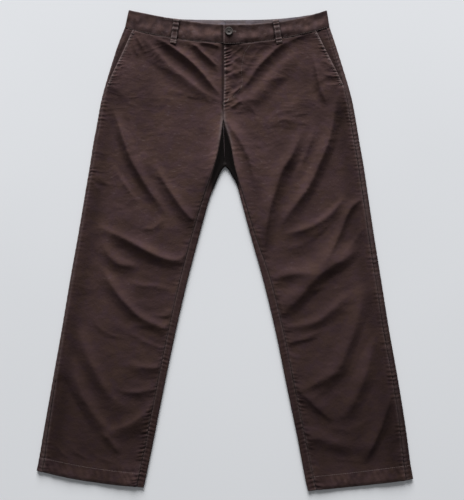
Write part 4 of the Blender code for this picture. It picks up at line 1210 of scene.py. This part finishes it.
def loop_seat(flat, ground, reach=5):
    """Height of the cloth under each row of the belt loop, smoothed along it."""
    seat = np.array([max(ground.height(*place) for place in row[::4]) for row in flat])
    seat = np.array([seat[max(i - reach, 0):i + reach + 1].max() for i in range(len(seat))])
    kernel = np.ones(2 * reach + 1) / (2 * reach + 1)
    return np.convolve(np.pad(seat, reach, mode="edge"), kernel, mode="valid")


# Objects

def add_object(name, data):
    """New object in the scene."""
    item = bpy.data.objects.new(name, data)
    bpy.context.scene.collection.objects.link(item)
    return item


def evaluated_mesh(item):
    """Mesh of an object with its modifiers, or of a curve."""
    return bpy.data.meshes.new_from_object(item.evaluated_get(bpy.context.evaluated_depsgraph_get()))


def grid_mesh(name, columns, rows, size, flip=False):
    """Flat mesh of equal cells."""
    bm = bmesh.new()
    bmesh.ops.create_grid(bm, x_segments=columns, y_segments=rows, size=size)
    if flip:
        bmesh.ops.reverse_faces(bm, faces=bm.faces)
    mesh = bpy.data.meshes.new(name)
    bm.to_mesh(mesh)
    bm.free()
    return mesh


def grid_object(name, shell, flip, material):
    """Mesh through a shell's points, with its grain, wear, painted shade and dye tone as attributes."""
    points = shell.points
    rows, columns = points.shape[0] - 1, points.shape[1] - 1
    mesh = grid_mesh(name, columns, rows, 1.0, flip)
    place = np.empty(len(mesh.vertices) * 3, dtype=np.float32)
    mesh.vertices.foreach_get("co", place)
    place = place.reshape(-1, 3)
    column = np.rint((place[:, 0] + 1) / 2 * columns).astype(int)
    row = np.rint((1 - place[:, 1]) / 2 * rows).astype(int)
    mesh.vertices.foreach_set("co", points[row, column].astype(np.float32).ravel())
    cloth = mesh.attributes.new("grain", "FLOAT_VECTOR", "POINT")
    cloth.data.foreach_set("vector", shell.grain[row, column].astype(np.float32).ravel())
    for label, values in (("worn", shell.worn), ("deep", shell.deep), ("faded", shell.faded)):
        values = np.broadcast_to(values, points.shape[:2])
        field = mesh.attributes.new(label, "FLOAT", "POINT")
        field.data.foreach_set("value", values[row, column].astype(np.float32))
    mesh.shade_smooth()
    mesh.materials.append(material)
    return add_object(name, mesh)


def cloth_piece(node, shell, flip, wall, materials):
    """Cloth shell that stands for one node of the frame: outer face, wall and plain inside."""
    outside, inside = materials
    item = grid_object(f"{node}_cloth", shell, flip, outside)
    item.data.materials.append(inside)
    solidify = item.modifiers.new("cloth wall", "SOLIDIFY")
    solidify.thickness = wall
    solidify.offset = -1.0
    solidify.use_even_offset = False
    solidify.material_offset = 1
    solidify.material_offset_rim = 0
    settle(item)
    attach(item, "root")
    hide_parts(node)
    return item


def settle(item):
    """Turn the wall into mesh and lift what lies below the floor back onto it."""
    mesh = evaluated_mesh(item)
    place = np.empty(len(mesh.vertices) * 3, dtype=np.float32)
    mesh.vertices.foreach_get("co", place)
    place[2::3] = np.maximum(place[2::3], 0)
    mesh.vertices.foreach_set("co", place)
    item.modifiers.clear()
    item.data = mesh


class Ground:
    """The cloth that later pieces lie on, felt from above or from below."""

    def __init__(self):
        self.trees = []

    def add(self, item):
        self.trees.append(BVHTree.FromObject(item, bpy.context.evaluated_depsgraph_get()))

    def hit(self, x, y, above=True):
        """Highest point and its normal from above, or the lowest ones from below."""
        start = Vector((x, y, 0.1 if above else -0.1))
        found = [tree.ray_cast(start, Vector((0, 0, -1 if above else 1)))[:2] for tree in self.trees]
        found = [hit for hit in found if hit[0] is not None]
        if not found:
            return None
        place, normal = (max if above else min)(found, key=lambda hit: hit[0].z)
        if (normal.z > 0) != above:
            normal = -normal
        return place, normal

    def height(self, x, y):
        found = self.hit(x, y)
        return found[0].z if found else 0.0


# Thread

THREAD_RADIUS = 0.00030
FINE_THREAD_RADIUS = 0.00022
BUTTON_THREAD_RADIUS = 0.00038
STITCH = 0.0031
STITCH_SPACE = 0.0010
STITCH_SHARES = (0.0, 0.3, 0.7, 1.0)
STITCH_SIZES = (0.5, 1.0, 1.0, 0.5)
STITCH_SINK = (-0.35, 0.55, 0.55, -0.35)
TACK_PITCH = 0.00062

# A stitch that comes out this many times longer spans a step in the cloth and is left out
LONGEST = 3


class Thread:
    """Stitches gathered into one curve, which then becomes one mesh."""

    def __init__(self, name, radius=THREAD_RADIUS):
        self.name = name
        self.curve = bpy.data.curves.new(name, "CURVE")
        self.curve.dimensions = "3D"
        self.curve.bevel_depth = radius
        self.curve.bevel_resolution = 1
        self.curve.resolution_u = 1
        self.curve.use_fill_caps = True
        self.radius = radius

    def add(self, points, sizes):
        spline = self.curve.splines.new("POLY")
        spline.points.add(len(points) - 1)
        for target, point, size in zip(spline.points, points, sizes):
            target.co = (*point, 1.0)
            target.radius = size

    def stitch(self, ground, start, end, above=True):
        """One stitch between two places on the cloth, sunk in at both ends."""
        points = []
        for share, sink in zip(STITCH_SHARES, STITCH_SINK):
            x, y = mix(np.array(start), np.array(end), share)
            found = ground.hit(x, y, above)
            if not found:
                return
            place, normal = found
            points.append(place + normal * self.radius * sink)
        if (points[0] - points[-1]).length < LONGEST * math.dist(start, end):
            self.add(points, STITCH_SIZES)

    def run(self, ground, path, above=True):
        """A row of stitches along a path of x, y points."""
        path = np.array(path, dtype=float)
        length = lengths_along(path)
        pitch = STITCH + STITCH_SPACE
        for begin in np.arange(0.4 * STITCH_SPACE, length[-1] - STITCH, pitch):
            ends = [[np.interp(at, length, path[:, axis]) for axis in (0, 1)]
                    for at in (begin, begin + STITCH)]
            self.stitch(ground, *ends, above=above)

    def tack(self, ground, middle, along, length, width):
        """Bar tack: short dense stitches across a line."""
        along = unit(np.array(along, dtype=float))
        across = np.array([-along[1], along[0]]) * width / 2
        for at in np.arange(-length / 2, length / 2, TACK_PITCH):
            place = np.array(middle) + along * at
            self.stitch(ground, place - across, place + across + along * TACK_PITCH * 0.5)

    def finish(self, material, slot):
        """Turn the curve into a mesh piece that rides on the part."""
        holder = add_object(self.name + "_curve", self.curve)
        mesh = evaluated_mesh(holder)
        bpy.data.objects.remove(holder)
        bm = bmesh.new()
        bm.from_mesh(mesh)
        bmesh.ops.remove_doubles(bm, verts=bm.verts, dist=1e-7)
        bm.to_mesh(mesh)
        bm.free()
        mesh.materials.clear()
        mesh.materials.append(material)
        mesh.shade_smooth()
        item = add_object(self.name, mesh)
        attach(item, "root")


def inset_line(points, distance, sign):
    """A line moved sideways by a distance."""
    along = unit(np.gradient(points, axis=0))
    return points + np.stack([along[:, 1], -along[:, 0]], axis=1) * distance * sign


# Materials

class Material:
    """A Principled material, with short ways to add and link its nodes."""

    def __init__(self, name):
        self.made = bpy.data.materials.new(name)
        self.made.use_nodes = True
        self.tree = self.made.node_tree

    def set(self, target, value):
        """Link a socket to a node's output, or give it a value."""
        if isinstance(value, bpy.types.NodeSocket):
            self.tree.links.new(value, target)
        else:
            target.default_value = value

    def node(self, kind, inputs, output=0, **settings):
        """Output of a new node with its settings and inputs."""
        made = self.tree.nodes.new("ShaderNode" + kind)
        for name, value in settings.items():
            setattr(made, name, value)
        for name, value in inputs.items():
            self.set(made.inputs[name], value)
        return made.outputs[output]

    def value(self, name, output="Fac"):
        """One of the values that the cloth's points carry."""
        return self.node("Attribute", {}, output, attribute_name=name)

    def place(self):
        return self.node("TexCoord", {}, "Object")

    def times(self, first, second):
        return self.node("Math", {0: first, 1: second}, operation="MULTIPLY")

    def plus(self, first, second):
        return self.node("Math", {0: first, 1: second}, operation="ADD")

    def mixed(self, share, first, second, blend="MIX"):
        return self.node("Mix", {0: share, 6: first, 7: second}, 2, data_type="RGBA", blend_type=blend)

    def noise(self, place, scale, detail=2.0, roughness=0.5, stretch=None):
        """Noise from 0 to 1, with its size per metre, in streaks where it is stretched."""
        if stretch:
            place = self.node("Mapping", {"Vector": place, "Scale": stretch})
        inputs = {"Vector": place, "Scale": scale, "Detail": detail, "Roughness": roughness}
        return self.node("TexNoise", inputs, "Fac")

    def spread(self, value, low=0.0, high=1.0):
        """Value stretched so that low gives 0 and high gives 1."""
        return self.node("MapRange", {"Value": value, "From Min": low, "From Max": high}, clamp=True)

    def finish(self, height=None, strength=1.0, **inputs):
        """Set the shader's inputs, with underscores for the spaces in their names, and its bump."""
        shader = self.tree.nodes["Principled BSDF"]
        for name, value in inputs.items():
            self.set(shader.inputs[name.replace("_", " ")], value)
        if height is not None:
            bump = self.node("Bump", {"Height": height, "Distance": 1.0, "Strength": strength})
            self.set(shader.inputs["Normal"], bump)
        return self.made


# Colours of a cloth: its dye, warmer and cooler patches, worn cloth, and a dark colour for painted shade
Dye = namedtuple("Dye", "base warm cool worn deep")
TWILL_DYE = Dye((0.0585, 0.0338, 0.0328, 1), (0.0631, 0.0366, 0.0312, 1), (0.0583, 0.0338, 0.0367, 1),
                (0.1620, 0.1231, 0.1219, 1), (0.0060, 0.0047, 0.0045, 1))
BAND_DYE = Dye((0.0559, 0.0338, 0.0328, 1), (0.0607, 0.0355, 0.0312, 1), (0.0559, 0.0355, 0.0370, 1),
               (0.1782, 0.1414, 0.1403, 1), (0.0131, 0.0088, 0.0081, 1))
INSIDE_DYE = Dye((0.1511, 0.1251, 0.1404, 1), (0.1583, 0.1264, 0.1274, 1), (0.1476, 0.1277, 0.1508, 1),
                 (0.2484, 0.2143, 0.2300, 1), (0.0357, 0.0284, 0.0286, 1))
RIB_SCALE = 500
RIB_HEIGHT = 0.00010
INSIDE_RIB_HEIGHT = 0.00006
THREAD_COLOURS = ((0.135, 0.098, 0.092, 1), (0.200, 0.152, 0.144, 1))
DARK_THREAD_COLOURS = ((0.020, 0.014, 0.013, 1), (0.034, 0.024, 0.022, 1))
TWIST_COLOUR = (0.015, 0.010, 0.009, 1)
BUTTON_COLOURS = ((0.044, 0.036, 0.033, 1), (0.074, 0.064, 0.060, 1))
FLOOR_COLOURS = ((0.765, 0.780, 0.808, 1), (0.782, 0.797, 0.825, 1))
SHEEN_TINT = (0.80, 0.66, 0.66, 1)


def twill(name, dye, rib_height):
    """Washed cotton twill: diagonal ribs, uneven dye, fine crumples and worn, lighter edges, with the
    painted light and shade that the pieces carry.
    """
    cloth = Material(name)
    place = cloth.value("grain", "Vector")
    worn, deep, dye_shade = (cloth.value(label) for label in ("worn", "deep", "faded"))
    broad = cloth.noise(place, 19, 3)
    blotches = cloth.noise(place, 40, 3, 0.6)
    yarn = cloth.noise(place, 520, 2, 0.6, (1.0, 0.35, 1.0))
    wave = {"Vector": place, "Scale": RIB_SCALE, "Distortion": 0.9, "Detail": 1.0, "Detail Scale": 1.2}
    ribs = cloth.node("TexWave", wave, "Fac", wave_type="BANDS", bands_direction="DIAGONAL")

    colour = cloth.mixed(cloth.spread(broad, 0.40, 0.62), dye.base, dye.warm)
    colour = cloth.mixed(cloth.spread(blotches, 0.46, 0.66), colour, dye.cool)
    shade = cloth.plus(cloth.times(yarn, 0.34), 0.83)
    shade = cloth.times(shade, cloth.plus(cloth.times(ribs, 0.16), 0.92))
    # The dye's tone, with the painted light and shade that the pieces carry
    shade = cloth.times(shade, dye_shade)
    grey = cloth.node("CombineColor", {"Red": shade, "Green": shade, "Blue": shade})
    colour = cloth.mixed(1.0, colour, grey, "MULTIPLY")
    rubbed = cloth.times(worn, cloth.plus(cloth.times(yarn, 0.9), 0.2))
    flecks = cloth.spread(cloth.noise(place, 200, 2, 0.55, (0.45, 1.0, 1.0)), 0.60, 0.80)
    flecks = cloth.times(flecks, cloth.times(cloth.spread(dye_shade, 0.80), 0.38))
    rubbed = cloth.node("Math", {0: rubbed, 1: flecks}, operation="MAXIMUM")
    colour = cloth.mixed(cloth.spread(rubbed), colour, dye.worn)
    # Painted shade, where the pieces carry it
    colour = cloth.mixed(cloth.spread(deep), colour, dye.deep)

    crumple = cloth.times(cloth.noise(place, 120, 4, 0.62, (1.1, 1.0, 1.0)), 0.00125)
    slub = cloth.times(cloth.noise(place, 330, 2, 0.5, (0.25, 1.0, 1.0)), 0.00012)
    height = cloth.plus(cloth.plus(crumple, slub), cloth.times(ribs, rib_height))
    return cloth.finish(
        height, 0.8, Base_Color=colour, Roughness=cloth.plus(cloth.times(blotches, 0.16), 0.82),
        Specular_IOR_Level=0.05, Sheen_Weight=0.02, Sheen_Roughness=0.45, Sheen_Tint=SHEEN_TINT)


def thread_material(name, dark, light):
    """Twisted cotton thread."""
    thread = Material(name)
    place = thread.place()
    wave = {"Vector": place, "Scale": 900, "Distortion": 0.5}
    twist = thread.node("TexWave", wave, "Fac", bands_direction="DIAGONAL")
    colour = thread.mixed(thread.spread(thread.noise(place, 60, 2), 0.35, 0.65), dark, light)
    colour = thread.mixed(thread.times(twist, 0.4), colour, TWIST_COLOUR)
    return thread.finish(thread.times(twist, 0.00005), Base_Color=colour, Roughness=0.62)


def button_material():
    """Horn-like button plastic, satin, with cloudy streaks."""
    horn = Material("button")
    place = horn.place()
    cloud = horn.noise(place, 130, 4, 0.6, (1.0, 0.5, 1.0))
    scratch = horn.times(horn.noise(place, 900, 3, 0.6, (1.0, 0.1, 1.0)), 0.00003)
    return horn.finish(
        scratch, Base_Color=horn.mixed(horn.spread(cloud, 0.38, 0.64), *BUTTON_COLOURS),
        Roughness=horn.plus(horn.times(cloud, 0.2), 0.45), Specular_IOR_Level=0.3)


def floor_material():
    floor = Material("pale_floor")
    tone = floor.spread(floor.noise(floor.place(), 1.6, 2), 0.35, 0.65)
    colour = floor.mixed(tone, *FLOOR_COLOURS)
    return floor.finish(Base_Color=colour, Roughness=0.95, Specular_IOR_Level=0.1)


# Assembly

# The cloth of each side but for its belt loop: the side on which its faces turn over, its wall, its
# slot, what it lies on, and its cut width, length and area that show, without seam allowances.
Cloth = namedtuple("Cloth", "name shape turned wall slot lies_on cut area")
CLOTH = (
    Cloth("pocket_facing", pocket_facing, RIGHT, WALL, "twill", ("back",), (0.046, 0.145), 0.0025),
    Cloth("front", front_panel, RIGHT, WALL, "twill", ("back",), (0.290, 1.040), 0.249),
    Cloth("back", back_panel, LEFT, WALL, "twill", (), (0.350, 1.060), 0.294),
    Cloth("waistband", waistband, LEFT, BAND_WALL, "waistband", ("back",), (0.041, 0.460), 0.0187),
)


def build_cloth(side, materials, ground):
    """Cloth pieces of one side, which later pieces lie on."""
    pieces = []
    for cloth in CLOTH:
        node, shell = f"{cloth.name}_{side.name}", cloth.shape(side)
        faces = (materials[cloth.slot], materials["inside"])
        pieces.append(cloth_piece(node, shell, side is cloth.turned, cloth.wall, faces))
    for piece in pieces:
        ground.add(piece)
    return pieces


def build_loop(side, materials, ground):
    """Belt loop, sewn down at both ends."""
    faces = (materials["waistband"], materials["inside"])
    shell = belt_loop(side, ground)
    loop = cloth_piece(f"belt_loop_{side.name}", shell, False, LOOP_WALL, faces)
    sewn = Ground()
    sewn.add(loop)
    thread = Thread(f"loop_stitches_{side.name}", FINE_THREAD_RADIUS)
    top, bottom, down, across = loop_line(side)
    for offset in (-LOOP_ROW, LOOP_ROW):
        thread.run(sewn, [top + across * offset, bottom + across * offset])
    for place in (top + down * 0.0045, bottom - down * 0.0035):
        thread.tack(sewn, place, across, LOOP_WIDTH - 0.002, 0.0020)
    thread.finish(materials["thread"], "waistband")
    return loop


def band_line(edge, start, end, lift, count):
    """Places at a height above a waistband edge, from one x to another."""
    x = np.linspace(start, end, count)
    return np.stack([x, edge_y(edge, x) + lift], axis=1)


def hem_line(side):
    """Places at the height of the hem's stitches."""
    hem = side.sections[-1]
    reach = side.sign * 0.0035
    x = np.linspace(hem.outer[0] - reach, hem.inner[0] + reach, 120)
    share = np.clip((x - hem.outer[0]) / (hem.inner[0] - hem.outer[0]), 0, 1)
    y = mix(hem.outer[1], hem.inner[1], share) - side.hem_bow * np.sin(np.pi * share)
    return np.stack([x, y + HEM_DEPTH], axis=1)


def build_stitches(side, materials, ground):
    """Topstitching of one side: pocket, waistband inside and out, hem and bar tacks."""
    thread = Thread(f"stitches_{side.name}")
    slant = front_edge(side, fine_rows(side))[:index_of(side, "pocket end") + 1]
    thread.run(ground, inset_line(slant, POCKET_STITCH, side.sign)[4:])
    for place, length in ((slant[6], 0.007), (slant[-4], 0.008)):
        thread.tack(ground, place - [side.sign * 0.004, 0], (1, 0.3 * side.sign), length, 0.0018)

    front_x = BAND_LAP_X + (0.002 if side is RIGHT else -0.001)
    front_side, back_side = side.front_low.side_x - 0.003, side.back_low.side_x - 0.004
    thread.run(ground, band_line(side.front_low, front_x, side.sign * front_side, BAND_STITCH, 160))
    thread.run(ground, band_line(side.back_high, 0, side.sign * 0.150, -INSIDE_STITCH, 120))
    under = band_line(side.back_low, side.sign * 0.001, side.sign * back_side, BAND_STITCH, 160)
    thread.run(ground, under, above=False)
    if side is RIGHT:
        low, high = edge_y(side.front_low, 0) + BAND_STITCH, edge_y(side.front_high, 0) - 0.002
        thread.run(ground, np.linspace((front_x, low), (front_x, high), 20))

    for above in (True, False):
        thread.run(ground, hem_line(side), above)
    thread.finish(materials["thread"], "twill")


def build_fly_stitches(materials, ground):
    """The curved line beside the fly, and bar tacks at its foot."""
    thread = Thread("fly_stitches")
    thread.run(ground, j_line(60))
    thread.tack(ground, (0.006, 0.3375), (0.6, 1), 0.009, 0.0018)
    thread.tack(ground, (0.037, 0.368), (0.5, 1), 0.007, 0.0016)
    thread.tack(ground, (-0.0025, 0.3285), (0, 1), 0.006, 0.0050)
    thread.finish(materials["thread"], "twill")


def build_buttonhole(materials, ground):
    """Dense stitches round the slot that the button passes through."""
    thread = Thread("buttonhole_stitches", FINE_THREAD_RADIUS)
    left, right = BUTTONHOLE_X
    for x in np.arange(left, right, 0.00058):
        for up in (-1, 1):
            thread.stitch(ground, (x, BUTTON_Y + up * 0.0004), (x, BUTTON_Y + up * 0.0021))
    for end, turn in ((left, math.pi), (right, 0.0)):
        for angle in np.linspace(-1.2, 1.2, 9):
            way = np.array([math.cos(turn + angle), math.sin(turn + angle)])
            start = np.array([end, BUTTON_Y]) + way * 0.0005
            thread.stitch(ground, start, start + way * 0.0017)
    thread.finish(materials["thread"], "waistband")


def cut_holes(button, centres):
    """Drill the holes through the button and turn it into plain mesh."""
    cutters = []
    for across, up in centres:
        place = (across, up, button.location.z)
        bpy.ops.mesh.primitive_cylinder_add(
            vertices=20, radius=BUTTON_HOLE_RADIUS, depth=0.02, location=place)
        cutters.append(bpy.context.active_object)
        cut = button.modifiers.new("hole", "BOOLEAN")
        cut.operation = "DIFFERENCE"
        cut.object = cutters[-1]
    mesh = evaluated_mesh(button)
    button.modifiers.clear()
    button.data = mesh
    for cutter in cutters:
        bpy.data.objects.remove(cutter)


def build_button(materials, ground):
    """Four-hole button with a turned rim and a sunk middle, sewn on with crossed thread."""
    rest = (-BUTTON_REST, 0, BUTTON_REST)
    base_z = BUTTON_LIFT + max(ground.height(BUTTON_X + dx, BUTTON_Y + dy) for dx in rest for dy in rest)
    mesh = bpy.data.meshes.new("waist_button")
    edges = [(index, index + 1) for index in range(len(BUTTON_PROFILE) - 1)]
    mesh.from_pydata([(radius, 0.0, height) for radius, height in BUTTON_PROFILE], edges, [])
    button = add_object("waist_button", mesh)
    button.location = (BUTTON_X, BUTTON_Y, base_z)
    screw = button.modifiers.new("turned", "SCREW")
    screw.steps = screw.render_steps = BUTTON_STEPS
    screw.use_merge_vertices = True
    screw.merge_threshold = 0.00001
    middle = np.array([BUTTON_X, BUTTON_Y])
    holes = [middle + np.array(way) * BUTTON_HOLE_OFFSET for way in BUTTON_HOLE_WAYS]
    cut_holes(button, holes)
    button.data.materials.clear()
    button.data.materials.append(materials["button"])
    button.data.shade_smooth()
    button.data.set_sharp_from_angle(angle=math.radians(38))
    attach(button, "root")
    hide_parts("button")
    sew_button(materials, holes, base_z + BUTTON_MIDDLE)


def sew_button(materials, holes, top):
    """Thread that crosses the button's middle from hole to hole."""
    thread = Thread("button_thread", BUTTON_THREAD_RADIUS)
    shares = (-0.12, 0.0, 0.5, 1.0, 1.12)
    for start, end, crossing in ((holes[0], holes[2], 0.0007), (holes[1], holes[3], 0.0010)):
        way = unit(end - start)
        beside = np.array([-way[1], way[0]])
        heights = (-0.0012, 0.0002, crossing, 0.0002, -0.0012)
        for shift in (-0.0005, 0.0, 0.0005):
            points = [(*(mix(start, end, share) + beside * shift), top + height)
                      for share, height in zip(shares, heights)]
            thread.add(points, (0.8, 1, 1, 1, 0.8))
    thread.finish(materials["dark_thread"], "button")


# Stage

VIEW_CENTRE = (0.0158, 0.0018)
VIEW_SPAN = 1.1205
CAMERA_LENS = 50.0
CAMERA_SENSOR = 36.0
FLOOR_HALF = 40.0
FLOOR_Z = -0.0004
KEY_PLACE = (-0.5, 11.05, 4.70)
KEY_SIZE = (7.6, 6.0)
KEY_POWER = 2740.0
WORLD_COLOUR = (0.97, 0.985, 1.0, 1)
WORLD_STRENGTH = 0.20


def build_stage():
    """Floor, window light and soft light from all round."""
    mesh = grid_mesh("floor", 1, 1, FLOOR_HALF)
    mesh.materials.append(floor_material())
    floor = add_object("floor", mesh)
    floor.location = (0, 0, FLOOR_Z)

    light = bpy.data.lights.new("window_light", "AREA")
    light.shape = "RECTANGLE"
    light.size, light.size_y = KEY_SIZE
    light.energy = KEY_POWER
    light.color = (1.0, 1.0, 1.0)
    lamp = add_object("window_light", light)
    lamp.location = KEY_PLACE
    lamp.rotation_euler = (-Vector(KEY_PLACE)).to_track_quat("-Z", "Y").to_euler()

    world = bpy.data.worlds.new("soft_room")
    bpy.context.scene.world = world
    world.use_nodes = True
    background = world.node_tree.nodes["Background"]
    background.inputs["Color"].default_value = WORLD_COLOUR
    background.inputs["Strength"].default_value = WORLD_STRENGTH


def build_camera():
    """Camera straight above, framed as the photograph is."""
    data = bpy.data.cameras.new("camera")
    data.lens = CAMERA_LENS
    data.sensor_width = CAMERA_SENSOR
    camera = add_object("camera", data)
    camera.location = (*VIEW_CENTRE, VIEW_SPAN * CAMERA_LENS / CAMERA_SENSOR + EDGE_Z)
    bpy.context.scene.camera = camera


def main():
    """Stage, cloth, stitches, button and belt loops."""
    bpy.context.scene.view_settings.view_transform = "Standard"
    build_camera()
    build_stage()
    materials = {
        "twill": twill("brown_twill", TWILL_DYE, RIB_HEIGHT),
        "waistband": twill("band_twill", BAND_DYE, RIB_HEIGHT),
        "inside": twill("twill_inside", INSIDE_DYE, INSIDE_RIB_HEIGHT),
        "thread": thread_material("thread", *THREAD_COLOURS),
        "dark_thread": thread_material("dark_thread", *DARK_THREAD_COLOURS),
        "button": button_material(),
    }
    ground = Ground()
    pieces = [build_cloth(side, materials, ground) for side in (LEFT, RIGHT)]
    for side in (LEFT, RIGHT):
        build_stitches(side, materials, ground)
    build_fly_stitches(materials, ground)
    build_buttonhole(materials, ground)
    build_button(materials, ground)
    for side, cloth in zip((LEFT, RIGHT), pieces):
        build_loop(side, materials, ground)


main()
